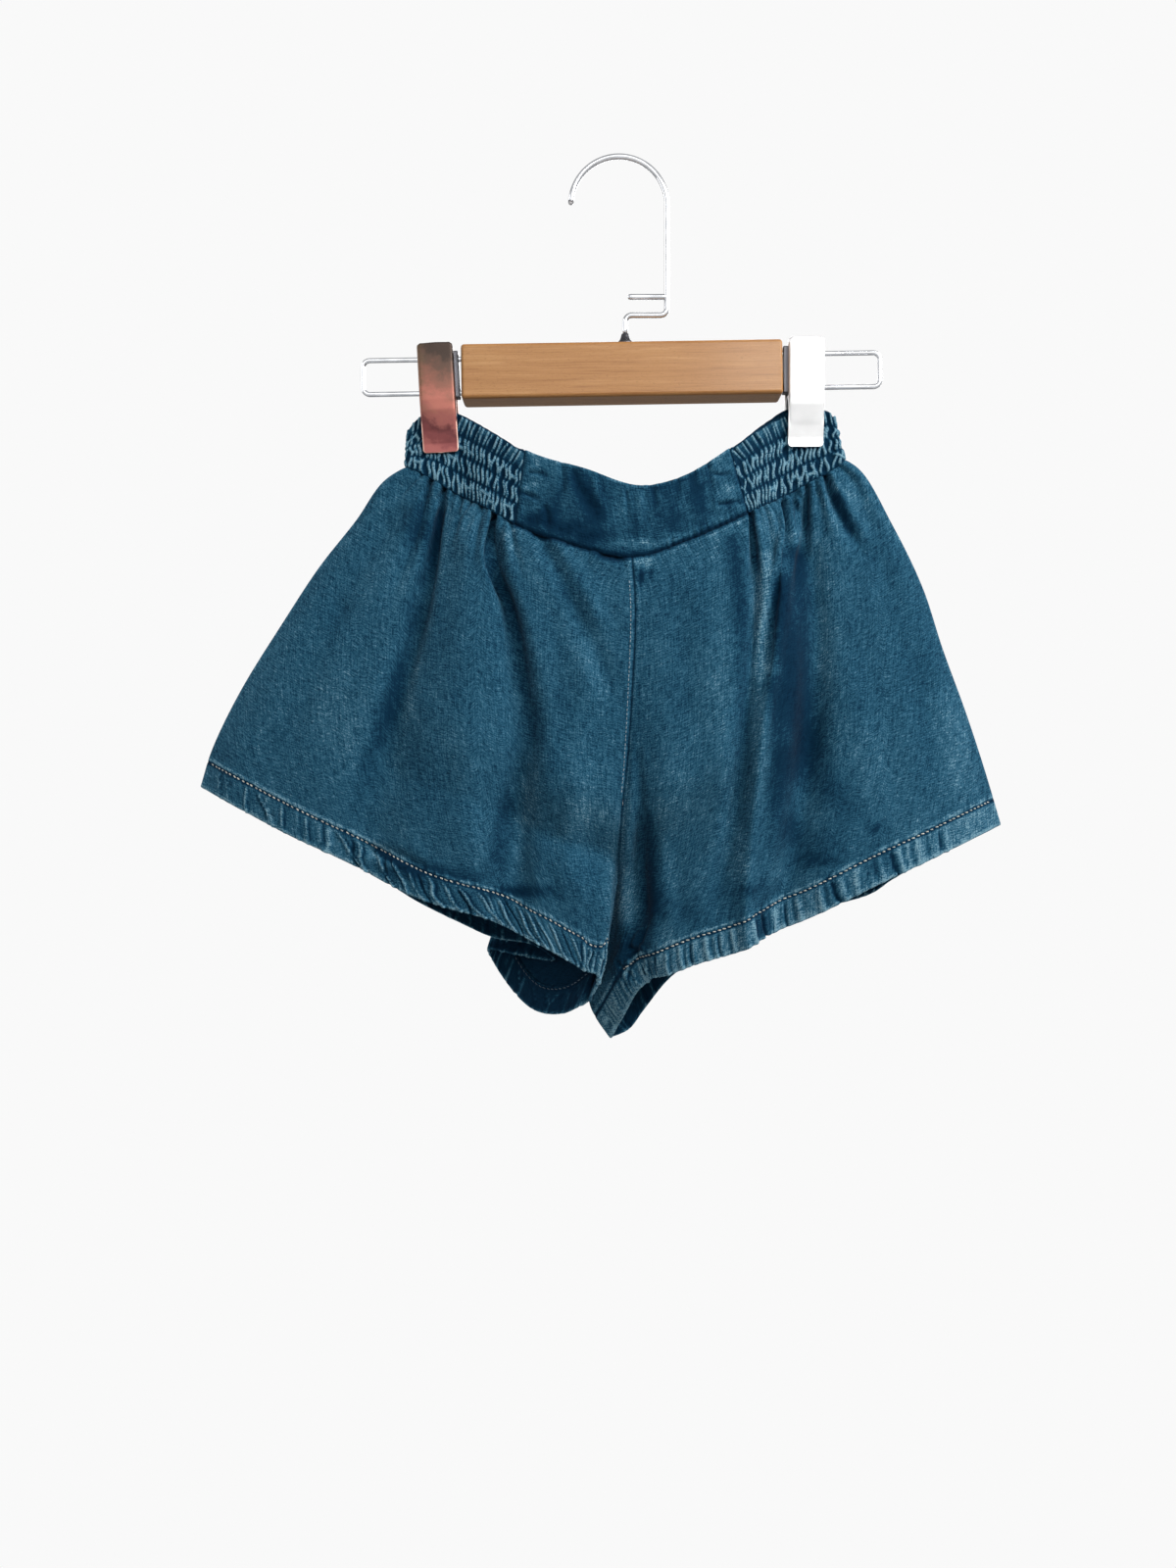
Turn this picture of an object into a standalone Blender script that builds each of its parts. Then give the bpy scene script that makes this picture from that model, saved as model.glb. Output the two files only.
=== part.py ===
"""Girl's flared chambray shorts on a clip hanger.

The shorts hang from two clips that slide on the wire ends of a short wooden bar, and the bar
hangs from a wire hook. The front has a plain V-shaped yoke, and a smocked elastic strip runs
from one end of it round the back to the other. Four flared leg panels are sewn below, and
their hems are turned up on the inside.

Frame: the origin is the inner top of the hook, where it rests on its peg. +X is the
viewer's right, +Y points away from the viewer, and +Z is up. "Left" is -X.
All lengths in this file are millimetres until a mesh is made.
"""

import math

import bmesh
import bpy
import numpy as np
from mathutils import Matrix, Vector

MM = 0.001

# ---------------------------------------------------------------- driving sizes

GAP = 0.3  # between any two pieces
PANEL_WALL = 1.2
BAND_WALL = 2.2
YOKE_WALL = 1.8
HEM_WALL = 0.8
HEM_HEIGHT = 14.5
HEM_SLACK = 0.15  # more room where the hem bends, since flat faces cut its corners
LIP = 1.0  # the last stretch of a panel, square to its seam

# Where the columns of a panel lie, in shares across: runs of (first, last, columns). A panel
# has more of them where its hem is folded back on itself.
PANEL_ROWS = 10
PLAIN_COLUMNS = ((0.012, 0.05, 3), (0.09, 0.91, 17), (0.95, 0.985, 2))
FLUTED_COLUMNS = (
    (0.012, 0.05, 3), (0.09, 0.57, 11), (0.595, 0.69, 8), (0.715, 0.73, 2),
    (0.740, 0.805, 8), (0.84, 0.94, 5), (0.965, 0.985, 2),
)

BAND_ROWS = 3
YOKE_COLUMNS = 17
SEAM_INSET = GAP / 2 / 40  # in waist stations, which are about 40 mm apart beside the yoke
# Waist stations of the smocked strip: runs of (first, last, columns), close at its side bends.
ELASTIC_COLUMNS = (
    (1 + SEAM_INSET, 1.68, 9), (1.74, 2.26, 13), (2.34, 3.62, 19),
    (3.70, 4.28, 15), (4.36, 5 - SEAM_INSET, 8),
)

BAR_LENGTH = 184.0
BAR_HEIGHT = 31.3
BAR_DEPTH = 18.0
BAR_CENTRE = (1.5, 0.0, -124.0)
BAR_TILT = math.radians(-0.9)

WIRE_RADIUS = 1.4
WIRE_SPACING = 19.6
WIRE_REACH = 149.5  # from the bar's centre to the middle of the outer wire
WIRE_CORNER = 4.0
WIRE_SOCKET = 8.0

HOOK_WIRE_RADIUS = 1.6
CROOK_RADIUS = 27.8
JOG_X = 3.6
JOG_Z = -90.2
JOG_CORNER = 4.0
STUB_Z = -79.6
CROOK_STEPS = 20
COLLAR = (4.9, 2.2, 7.0)  # radius at its foot, radius at its top, height

CLIP_WIDTH = 20.5
CLIP_HEIGHT = 61.0
CLIP_SHEET = 1.0
CLIP_FLANGE = 5.0
CLIP_CORNER = 1.2
SLIDER_SIZE = (13.0, 15.4, 29.0)
SLIDER_NECK = (8.0, 5.4, 27.0)  # the part that passes out between the flanges, towards the bar
NECK_PLACE = 8.6  # from the clip's middle to the neck's
JAW_REACH = 4.0  # from the wires' plane to the middle of a plate at its jaw

# Each clip: name, x and z of its slider, and its lean about Y in degrees.
CLIPS = (
    ("left", -104.8, -125.6, -3.1),
    ("right", 107.2, -122.2, 0.0),
)

# ------------------------------------------------------- where the edges hang

# The waistband's two edges. A station runs round the waist: 0 front centre, 1 left yoke seam,
# 2 left side, 3 back centre, 4 right side, 5 right yoke seam, 6 front centre again.
# Columns: station, top edge x y z, bottom seam x y z.
WAIST = (
    (0.00, 9.0, -17.0, -193.4, 6.9, -18.0, -233.2),
    (0.45, -17.9, -16.0, -184.4, -23.0, -16.5, -227.0),
    (1.00, -54.1, -12.0, -171.9, -59.6, -12.5, -213.6),
    (1.30, -73.8, -7.5, -158.9, -77.0, -9.0, -203.4),
    (1.55, -92.0, -1.6, -147.4, -92.0, -2.8, -195.2),
    (1.70, -104.0, -1.5, -143.2, -105.0, -2.4, -187.4),
    (1.84, -115.5, -1.9, -149.4, -117.5, -2.6, -180.6),
    (1.94, -121.2, -1.9, -156.6, -122.2, -2.2, -178.8),
    (2.00, -122.6, 0.2, -159.4, -123.4, 0.4, -178.0),
    (2.06, -121.2, 2.1, -157.0, -122.0, 2.6, -178.9),
    (2.12, -116.8, 2.1, -151.6, -117.8, 2.6, -180.6),
    (2.23, -104.0, 1.5, -143.6, -105.0, 2.4, -187.6),
    (2.35, -92.0, 1.6, -147.2, -92.0, 3.0, -195.4),
    (2.60, -54.1, 9.0, -170.6, -58.0, 12.0, -213.0),
    (3.00, 7.0, 14.0, -188.8, 6.9, 17.0, -231.0),
    (3.40, 60.0, 8.6, -168.4, 64.0, 11.0, -209.6),
    (3.65, 97.0, 1.6, -144.2, 97.0, 3.0, -194.0),
    (3.77, 108.5, 1.5, -141.6, 109.5, 2.4, -187.4),
    (3.88, 118.8, 1.8, -144.0, 123.0, 2.4, -180.0),
    (3.95, 123.2, 2.0, -148.0, 129.2, 2.4, -175.4),
    (4.00, 124.6, 0.2, -149.8, 131.0, 0.4, -173.6),
    (4.05, 123.2, -1.7, -148.4, 129.2, -2.0, -175.6),
    (4.16, 118.8, -1.8, -145.2, 123.0, -2.4, -180.4),
    (4.30, 108.5, -1.5, -142.6, 109.5, -2.3, -187.6),
    (4.45, 96.0, -1.6, -147.8, 96.0, -2.8, -195.2),
    (4.70, 79.0, -7.0, -158.4, 83.0, -9.0, -202.0),
    (5.00, 62.8, -12.0, -171.0, 73.0, -12.5, -207.2),
    (5.50, 36.0, -16.0, -188.0, 38.0, -16.8, -223.4),
)
STATIONS = 6

# The outer edge of each leg, from the waist to the hem. Columns: share, x, y, z.
SIDE_LEFT = (
    (0.00, -123.4, 0.4, -178.8),
    (0.06, -134.0, 1.5, -185.0),
    (0.20, -152.5, 2.5, -209.5),
    (0.34, -173.3, 3.0, -235.5),
    (0.50, -195.0, 3.0, -268.5),
    (0.68, -218.3, 3.0, -306.0),
    (0.86, -235.5, 3.0, -341.0),
    (1.00, -242.2, 3.0, -362.4),
)
SIDE_RIGHT = (
    (0.00, 131.0, 0.4, -174.6),
    (0.05, 138.5, 1.5, -179.5),
    (0.20, 158.5, 2.5, -212.0),
    (0.36, 175.3, 3.0, -246.0),
    (0.54, 187.6, 3.0, -283.0),
    (0.72, 201.5, 3.0, -321.0),
    (0.88, 212.6, 3.0, -355.0),
    (1.00, 221.0, 3.0, -383.4),
)

# The centre seams, from the waist to the crotch. Columns: share of the way to the crotch, x, y, z.
CROTCH = (-0.3, 4.0, -415.3)
CENTRE_FRONT = (
    (0.00, 6.9, -18.0, -233.5),
    (0.16, 8.6, -20.5, -262.0),
    (0.40, 7.0, -20.5, -306.0),
    (0.62, 4.4, -19.6, -345.0),
    (0.84, 0.6, -14.5, -386.0),
    (1.00, *CROTCH),
)
CENTRE_BACK = (
    (0.00, 6.9, 17.0, -231.3),
    (0.18, 7.6, 21.5, -265.0),
    (0.42, 6.0, 24.0, -310.0),
    (0.64, 4.0, 21.5, -350.0),
    (0.84, 2.0, 15.0, -386.0),
    (1.00, *CROTCH),
)

# The inseams, from the crotch to the hem. Columns as above.
INSEAM_LEFT = (
    (0.00, *CROTCH),
    (0.10, -2.4, 1.0, -422.0),
    (0.30, -4.4, -1.4, -435.5),
    (0.55, -7.4, -1.4, -452.5),
    (0.78, -11.0, 0.0, -469.5),
    (1.00, -16.8, 2.0, -486.4),
)
INSEAM_RIGHT = (
    (0.00, *CROTCH),
    (0.10, -1.4, 8.0, -424.6),
    (0.32, -4.9, 13.0, -445.0),
    (0.60, -11.5, 17.0, -472.0),
    (0.80, -16.2, 19.5, -491.0),
    (0.90, -12.2, 20.5, -500.5),
    (1.00, -4.4, 22.0, -512.0),
)

# The four hem edges, from the side to the inseam. Columns: share, x, y, z, and whether the
# point also belongs to the plain hem line, without its flute.
HEM_FRONT_LEFT = (
    (0.00, -242.2, 3.0, -362.4, True),
    (0.03, -226.0, -7.5, -369.8, True),
    (0.08, -200.4, -15.5, -382.3, True),
    (0.17, -160.6, -23.0, -401.2, True),
    (0.29, -115.9, -26.5, -422.3, True),
    (0.42, -72.4, -25.0, -437.1, True),
    (0.54, -47.5, -22.5, -449.5, True),
    (0.69, -33.3, -20.0, -457.5, True),
    (0.84, -21.0, -15.5, -465.6, True),
    (0.95, -11.4, -7.0, -474.2, True),
    (1.00, -16.8, 2.0, -486.4, True),
)
HEM_FRONT_RIGHT = (
    (0.00, 221.0, 3.0, -384.4, True),
    (0.03, 203.0, -9.0, -391.0, True),
    (0.06, 179.7, -17.0, -401.1, True),
    (0.11, 150.0, -23.0, -414.0, True),
    (0.18, 113.6, -27.0, -431.9, True),
    (0.30, 84.0, -27.5, -445.2, True),
    (0.45, 63.7, -26.0, -454.4, True),
    (0.62, 43.9, -23.5, -460.8, True),
    (0.76, 27.2, -19.0, -468.1, True),
    (0.86, 15.9, -13.0, -474.4, True),
    (0.91, 9.6, -5.0, -480.4, True),
    (0.96, 2.6, 9.0, -496.4, True),
    (1.00, -4.4, 22.0, -512.0, True),
)
HEM_BACK_LEFT = (
    (0.00, -242.2, 3.0, -362.4, True),
    (0.04, -226.0, 13.0, -369.0, True),
    (0.15, -190.0, 21.0, -388.0, True),
    (0.30, -144.2, 22.0, -414.8, True),
    (0.46, -93.4, 16.5, -442.6, True),
    (0.53, -72.9, 13.0, -451.0, False),
    (0.60, -48.7, 12.0, -455.6, False),
    (0.645, -38.2, 17.5, -465.0, False),
    (0.705, -59.1, 23.0, -463.2, False),
    (0.752, -76.8, 26.4, -460.2, False),
    (0.765, -78.6, 29.6, -461.2, False),
    (0.778, -77.6, 33.0, -464.2, False),
    (0.83, -66.4, 37.5, -482.6, True),
    (0.89, -50.2, 27.0, -496.2, True),
    (0.95, -31.4, 14.5, -496.0, True),
    (1.00, -16.8, 2.0, -486.4, True),
)
HEM_BACK_RIGHT = (
    (0.00, 221.0, 3.0, -384.4, True),
    (0.04, 205.0, 14.0, -393.0, True),
    (0.14, 170.0, 24.0, -413.0, True),
    (0.26, 153.0, 27.0, -426.0, True),
    (0.45, 110.0, 32.0, -438.0, True),
    (0.65, 72.0, 34.0, -452.5, True),
    (0.82, 30.4, 35.0, -479.5, True),
    (0.91, 14.8, 32.0, -498.0, True),
    (0.96, 5.7, 28.0, -508.6, True),
    (1.00, -4.4, 22.0, -512.0, True),
)

# How far each panel stands out from its four edges, in depth. Columns: share down, front, back.
FULLNESS = (
    (0.00, 0.0, 0.0),
    (0.12, 5.0, 5.0),
    (0.30, 9.0, 9.0),
    (0.55, 10.0, 10.0),
    (0.80, 6.0, 6.0),
    (1.00, 0.0, 0.0),
)

# The largest folds. Columns: share across at the waist and at the hem, how far it bows from the
# straight line between, where it starts and ends (share down), half width (share across) at its
# top and foot, depth at its top and foot.
# A positive depth is a trough, pushed into the leg, and a negative one is a ridge.
FOLDS_FRONT_LEFT = (
    (0.11, 0.11, 0.00, 0.00, 0.50, 0.025, 0.030, 3.0, 0.8),
    (0.25, 0.20, 0.06, 0.00, 1.00, 0.035, 0.055, 6.0, 9.0),
    (0.40, 0.36, 0.06, 0.05, 1.00, 0.080, 0.090, -3.0, -6.0),
    (0.49, 0.42, 0.175, 0.00, 1.00, 0.035, 0.075, 7.5, 8.5),
    (0.80, 0.80, 0.00, 0.20, 0.95, 0.100, 0.090, -2.2, -4.5),
)
FOLDS_FRONT_RIGHT = (
    (0.06, 0.08, 0.00, 0.00, 0.45, 0.030, 0.030, 4.5, 0.8),
    (0.24, 0.25, 0.04, 0.00, 1.00, 0.035, 0.080, 5.2, 12.0),
    (0.36, 0.385, 0.13, 0.05, 1.00, 0.030, 0.042, -3.6, -5.0),
    (0.585, 0.54, 0.03, 0.00, 0.95, 0.028, 0.055, 5.0, 4.5),
    (0.94, 0.84, 0.02, 0.40, 1.00, 0.034, 0.046, 5.0, 14.0),
)
FOLDS_BACK_LEFT = (
    (0.12, 0.12, 0.00, 0.00, 0.85, 0.035, 0.050, 4.5, 6.0),
    (0.24, 0.24, 0.00, 0.00, 1.00, 0.050, 0.060, -3.0, -6.0),
    (0.38, 0.38, 0.00, 0.00, 1.00, 0.035, 0.055, 6.0, 7.5),
    (0.62, 0.66, 0.00, 0.00, 0.80, 0.035, 0.060, 6.0, 4.5),
    (0.84, 0.84, 0.00, 0.05, 0.70, 0.060, 0.070, -4.5, -3.0),
)
FOLDS_BACK_RIGHT = (
    (0.14, 0.14, 0.00, 0.00, 1.00, 0.035, 0.060, 5.2, 9.0),
    (0.28, 0.28, 0.00, 0.00, 0.90, 0.050, 0.060, -3.8, -5.2),
    (0.42, 0.44, 0.00, 0.00, 1.00, 0.035, 0.070, 6.0, 9.0),
    (0.60, 0.62, 0.00, 0.05, 0.80, 0.050, 0.060, -3.0, -4.5),
    (0.76, 0.78, 0.00, 0.00, 0.90, 0.035, 0.060, 6.0, 6.8),
)

# --------------------------------------------------------------------- curves


def smooth_through(rows, at, closed=0):
    """Catmull-Rom spline through rows of (key, x, y, z), read at the keys in `at`.

    `closed` is the key's period when the curve runs round and back to its first row.
    """
    rows = np.array([row[:4] for row in rows], float)
    keys, points = rows[:, 0], rows[:, 1:]
    if closed:
        turn = np.array([[closed]])
        keys = np.concatenate([keys[-2:] - closed, keys, keys[:2] + turn[0]])
        points = np.concatenate([points[-2:], points, points[:2]])
        at = np.mod(at, closed)
    else:
        keys = np.concatenate([[2 * keys[0] - keys[1]], keys, [2 * keys[-1] - keys[-2]]])
        ends = 2 * points[[0, -1]] - points[[1, -2]]
        points = np.concatenate([ends[:1], points, ends[1:]])
    at = np.atleast_1d(np.asarray(at, float))
    i = np.clip(np.searchsorted(keys, at, side="right") - 1, 1, len(keys) - 3)
    k0, k1, k2, k3 = (keys[i + n][:, None] for n in (-1, 0, 1, 2))
    p0, p1, p2, p3 = (points[i + n] for n in (-1, 0, 1, 2))
    width = k2 - k1
    slope_1 = ((p1 - p0) / (k1 - k0) * width + (p2 - p1) / width * (k1 - k0)) / (k2 - k0)
    slope_2 = ((p2 - p1) / width * (k3 - k2) + (p3 - p2) / (k3 - k2) * width) / (k3 - k1)
    u = (at[:, None] - k1) / width
    return (
        (2 * u**3 - 3 * u**2 + 1) * p1
        + (u**3 - 2 * u**2 + u) * slope_1 * width
        + (3 * u**2 - 2 * u**3) * p2
        + (u**3 - u**2) * slope_2 * width
    )


def ease(value, low, high):
    """0 below low, 1 above high, and a smooth step between."""
    u = np.clip((np.asarray(value, float) - low) / (high - low), 0, 1)
    return u * u * (3 - 2 * u)


def columns_of(runs):
    """The places of a grid's columns, from runs of (first, last, columns)."""
    return np.concatenate([np.linspace(*run) for run in runs])


def waist_edges(stations):
    """The waistband's top edge and bottom seam at the given stations."""
    top = smooth_through([row[:4] for row in WAIST], stations, closed=STATIONS)
    seam = smooth_through([(row[0], *row[4:]) for row in WAIST], stations, closed=STATIONS)
    return top, seam


# --------------------------------------------------------------- leg panels

# Each panel: its side of the body, front (-1) or back (+1), the waist stations at its side and
# centre edges, its share of the waist at the yoke seam, its edges, folds and columns.
PANELS = {
    "front_leg_left": {
        "side": -1, "face": -1, "stations": (2, 0), "edge": SIDE_LEFT, "centre": CENTRE_FRONT,
        "inseam": INSEAM_LEFT, "crotch": 0.720, "hem": HEM_FRONT_LEFT,
        "folds": FOLDS_FRONT_LEFT, "columns": PLAIN_COLUMNS,
    },
    "front_leg_right": {
        "side": 1, "face": -1, "stations": (4, 6), "edge": SIDE_RIGHT, "centre": CENTRE_FRONT,
        "inseam": INSEAM_RIGHT, "crotch": 0.655, "hem": HEM_FRONT_RIGHT,
        "folds": FOLDS_FRONT_RIGHT, "columns": PLAIN_COLUMNS,
    },
    "back_leg_left": {
        "side": -1, "face": 1, "stations": (2, 3), "edge": SIDE_LEFT, "centre": CENTRE_BACK,
        "inseam": INSEAM_LEFT, "crotch": 0.720, "hem": HEM_BACK_LEFT,
        "folds": FOLDS_BACK_LEFT, "columns": FLUTED_COLUMNS,
    },
    "back_leg_right": {
        "side": 1, "face": 1, "stations": (4, 3), "edge": SIDE_RIGHT, "centre": CENTRE_BACK,
        "inseam": INSEAM_RIGHT, "crotch": 0.655, "hem": HEM_BACK_RIGHT,
        "folds": FOLDS_BACK_RIGHT, "columns": PLAIN_COLUMNS,
    },
}
YOKE_SHARE = 0.61  # the gathers beside the yoke hold this share of a front panel's cloth
SEAM_FADE = 1.4  # how fast the waist's own shape dies away downwards
HEM_FADE = 1.8  # how fast the hem's own shape dies away upwards
FLUTE_TOP = 0.55  # where the hem's flute has died away
CROTCH_TURN = 0.04  # the share over which an inner edge turns from centre seam to inseam
SIDE_ROUND = 0.08  # the share across in which front and back part at their side seam


def inner_edge(panel, down):
    """Centre seam to the crotch, then inseam, at shares `down` the panel."""
    crotch = panel["crotch"]
    above = smooth_through(panel["centre"], np.minimum(down / crotch, 1))
    below = smooth_through(panel["inseam"], np.maximum((down - crotch) / (1 - crotch), 0))
    return np.where((down <= crotch)[:, None], above, below)


def fold_depth(folds, across, down):
    """Sum of the folds' depths at each point of the panel."""
    depth = np.zeros_like(across)
    for top, foot, bow, start, end, width_top, width_foot, depth_top, depth_foot in folds:
        along = np.clip((down - start) / (end - start), 0, 1)
        middle = top + (foot - top) * along + 4 * bow * along * (1 - along)
        width = width_top + (width_foot - width_top) * along
        fade = ease(down, start - 0.02, start + 0.08)
        if end < 1:
            fade = fade * (1 - ease(down, end - 0.15, end))
        height = depth_top + (depth_foot - depth_top) * along
        depth += fade * height * np.exp(-(((across - middle) / width) ** 2))
    return depth


def waist_stations(panel, across):
    """Waist stations at shares across a panel. The gathers hold more cloth than the yoke."""
    if panel["face"] < 0:
        across = np.interp(across, (0, YOKE_SHARE, 1), (0, 0.5, 1))
    start, end = panel["stations"]
    return start + (end - start) * across


def panel_surface(panel, across, down):
    """Middle surface of a leg panel, at equal-sized arrays of shares across and down."""
    shape = across.shape
    across, down = across.ravel(), down.ravel()
    at_side = 1 - ease(across, 0, SIDE_ROUND)
    top = waist_edges(waist_stations(panel, across))[1]
    top[:, 2] -= GAP * (1 + at_side)
    hem = smooth_through(panel["hem"], across)
    plain = smooth_through([row for row in panel["hem"] if row[4]], across)
    outer = smooth_through(panel["edge"], down)
    inner = inner_edge(panel, down)

    ends = np.array([0.0, 1.0])
    outer_top, outer_foot = smooth_through(panel["edge"], ends)
    inner_top, inner_foot = inner_edge(panel, ends)
    s, t = across[:, None], down[:, None]
    top_line = outer_top + (inner_top - outer_top) * s
    hem_line = outer_foot + (inner_foot - outer_foot) * s
    outer_line = outer_top + (outer_foot - outer_top) * t
    inner_line = inner_top + (inner_foot - inner_top) * t
    points = top_line * (1 - t) + hem_line * t
    points += (outer - outer_line) * (1 - s) ** 2 + (inner - inner_line) * s**2
    points += (top - top_line) * (1 - t) ** SEAM_FADE + (plain - hem_line) * t**HEM_FADE
    points += (hem - plain) * ease(t, FLUTE_TOP, 1.0)

    column = 1 if panel["face"] < 0 else 2
    fullness = np.interp(down, [row[0] for row in FULLNESS], [row[column] for row in FULLNESS])
    # The groove along the front centre seam is softer above the crotch.
    soft = 0.5 * across * (1 - ease(down, 0.45, 0.62)) if panel["face"] < 0 else 0.0
    round_off = np.sin(np.pi * across).clip(0) ** (0.6 + soft)
    stand_out = (fullness - fold_depth(panel["folds"], across, down)) * round_off
    points[:, 1] += panel["face"] * (stand_out + (GAP / 2 + LIP) * at_side)
    return points.reshape(*shape, 3)


def hem_start(panel, across):
    """Share down each column at which the turned-up hem begins."""
    step = 0.02
    foot = np.ones_like(across)
    fall = panel_surface(panel, across, foot) - panel_surface(panel, across, foot - step)
    after = panel_surface(panel, np.minimum(across + step, 1), foot)
    run = after - panel_surface(panel, np.maximum(across - step, 0), foot)
    sizes = np.linalg.norm(fall, axis=1) * np.linalg.norm(run, axis=1)
    slant = np.linalg.norm(np.cross(fall, run), axis=1) / sizes
    height = HEM_HEIGHT / np.maximum(slant, 0.6)
    return 1 - height / (np.linalg.norm(fall, axis=1) / step)


def inner_lip(panel, down):
    """Unit directions from the inner seam line into the panel, and the gap left at the line.

    The panel leaves the centre seam sideways and the inseam to its own face, and the gap is
    wider at the crotch, where four panels meet.
    """
    crotch = panel["crotch"]
    turn = ease(down, crotch - CROTCH_TURN, crotch + CROTCH_TURN) * math.pi / 2
    sideways, depth = panel["side"] * np.cos(turn), panel["face"] * np.sin(turn)
    way = np.stack([sideways, depth, np.zeros_like(down)], axis=1)
    corner = np.exp(-(((down - crotch) / CROTCH_TURN) ** 2))
    return way, (GAP / 2 + PANEL_WALL / 2 * corner)[:, None]


def panel_grid(panel):
    """Points of a leg panel as rows (down) by columns (across), with a lip along each seam.

    The last three rows are the turned-up hem's top, middle and bottom.
    """
    across = columns_of(panel["columns"])
    starts = hem_start(panel, across)
    body = np.linspace(0, 1, PANEL_ROWS + 1)[:, None] * starts[None, :]
    half = starts[None, :] + (1 - starts[None, :]) / 2
    down = np.concatenate([body, half, np.ones_like(half)])
    points = panel_surface(panel, np.broadcast_to(across, down.shape), down)

    outer = smooth_through(panel["edge"], down[:, 0])
    inner = inner_edge(panel, down[:, -1])
    outer_way = np.array([0, panel["face"], 0])
    inner_way, inner_gap = inner_lip(panel, down[:, -1])
    columns = [outer + outer_way * GAP / 2, outer + outer_way * (GAP / 2 + LIP)]
    columns += list(np.moveaxis(points, 1, 0))
    columns += [inner + inner_way * (inner_gap + LIP), inner + inner_way * inner_gap]
    return np.stack(columns, axis=1)


def unit(vectors):
    return vectors / np.linalg.norm(vectors, axis=-1, keepdims=True)


def grid_normals(points):
    """Unit normals at a grid's points, each the mean of those of the faces round it."""
    faces = unit(np.cross(points[1:, 1:] - points[:-1, :-1], points[1:, :-1] - points[:-1, 1:]))
    round_edge = np.pad(faces, ((1, 1), (1, 1), (0, 0)), mode="edge")
    above = round_edge[:-1, :-1] + round_edge[:-1, 1:]
    below = round_edge[1:, :-1] + round_edge[1:, 1:]
    return unit(above + below)


def turned_hem(panel, points):
    """The hem's inner layer: the panel's last rows moved in, ending short of the side seams."""
    normals = grid_normals(points)
    if np.mean(normals[:, :, 1]) * panel["face"] > 0:
        normals = -normals
    inside = points + normals * (PANEL_WALL / 2 + GAP + HEM_SLACK + HEM_WALL / 2)
    return inside[-3:, 2:-2]


# --------------------------------------------------------------- waistband


def band_grid(stations):
    """Points of the waistband between its edges, rows from the seam up."""
    top, seam = waist_edges(stations)
    height = np.linspace(0, 1, BAND_ROWS + 1)[:, None, None]
    return seam[None] * (1 - height) + top[None] * height


# ------------------------------------------------------- making the objects


def clear_scene():
    for item in list(bpy.data.objects):
        bpy.data.objects.remove(item, do_unlink=True)


def new_collection(name, shown=True):
    collection = bpy.data.collections.new(name)
    collection.hide_render = not shown
    bpy.context.scene.collection.children.link(collection)
    return collection


def make_material(name, colour, roughness, metallic=0.0):
    material = bpy.data.materials.new(name)
    material.use_nodes = True
    shader = material.node_tree.nodes["Principled BSDF"]
    shader.inputs["Base Color"].default_value = (*colour, 1.0)
    shader.inputs["Roughness"].default_value = roughness
    shader.inputs["Metallic"].default_value = metallic
    material.diffuse_color = (*colour, 1.0)
    return material


def add_object(name, data, material, collection, parent=None):
    item = bpy.data.objects.new(name, data)
    if material is not None:
        data.materials.append(material)
    collection.objects.link(item)
    item.parent = parent
    return item


def add_empty(name, place, turn_y, collection):
    empty = bpy.data.objects.new(name, None)
    empty.location = Vector(place) * MM
    empty.rotation_euler = (0.0, turn_y, 0.0)
    collection.objects.link(empty)
    return empty


def add_sheet(name, points, wall, material, collection, parent=None):
    """An open grid surface given a wall by Solidify. `points` is rows by columns, in mm."""
    rows, columns = points.shape[:2]
    faces = []
    for row in range(rows - 1):
        for column in range(columns - 1):
            first = row * columns + column
            faces.append((first, first + 1, first + columns + 1, first + columns))
    mesh = bpy.data.meshes.new(name)
    mesh.from_pydata((points.reshape(-1, 3) * MM).tolist(), [], faces)
    mesh.shade_smooth()
    item = add_object(name, mesh, material, collection, parent)
    solidify = item.modifiers.new("wall", "SOLIDIFY")
    solidify.thickness = wall * MM
    solidify.offset = 0.0
    solidify.use_even_offset = False
    return item


def add_box(name, size, bevel, material, collection, place=(0, 0, 0), parent=None):
    """A box centred at `place`, with its edges rounded by `bevel`."""
    mesh = bpy.data.meshes.new(name)
    shape = bmesh.new()
    bmesh.ops.create_cube(shape, size=1.0)
    bmesh.ops.scale(shape, vec=Vector(size) * MM, verts=shape.verts)
    shape.to_mesh(mesh)
    shape.free()
    item = add_object(name, mesh, material, collection, parent)
    item.location = Vector(place) * MM
    rounding = item.modifiers.new("rounding", "BEVEL")
    rounding.width = bevel * MM
    rounding.segments = 2
    return item


def add_cutter_rod(name, radius, start, end, collection, parent=None, sides=16):
    """A straight rod along X between two x values, used to bore a hole."""
    mesh = bpy.data.meshes.new(name)
    shape = bmesh.new()
    length = (end[0] - start[0]) * MM
    bmesh.ops.create_cone(
        shape, cap_ends=True, segments=sides, radius1=radius * MM, radius2=radius * MM, depth=length
    )
    turn = Matrix.Rotation(math.pi / 2, 4, "Y")
    bmesh.ops.transform(shape, matrix=turn, verts=shape.verts)
    shape.to_mesh(mesh)
    shape.free()
    item = add_object(name, mesh, None, collection, parent)
    item.location = (Vector(start) + Vector(end)) / 2 * MM
    item.hide_render = True
    item.display_type = "WIRE"
    return item


def cut(item, cutter):
    boolean = item.modifiers.new("bore " + cutter.name, "BOOLEAN")
    boolean.operation = "DIFFERENCE"
    boolean.object = cutter


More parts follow.
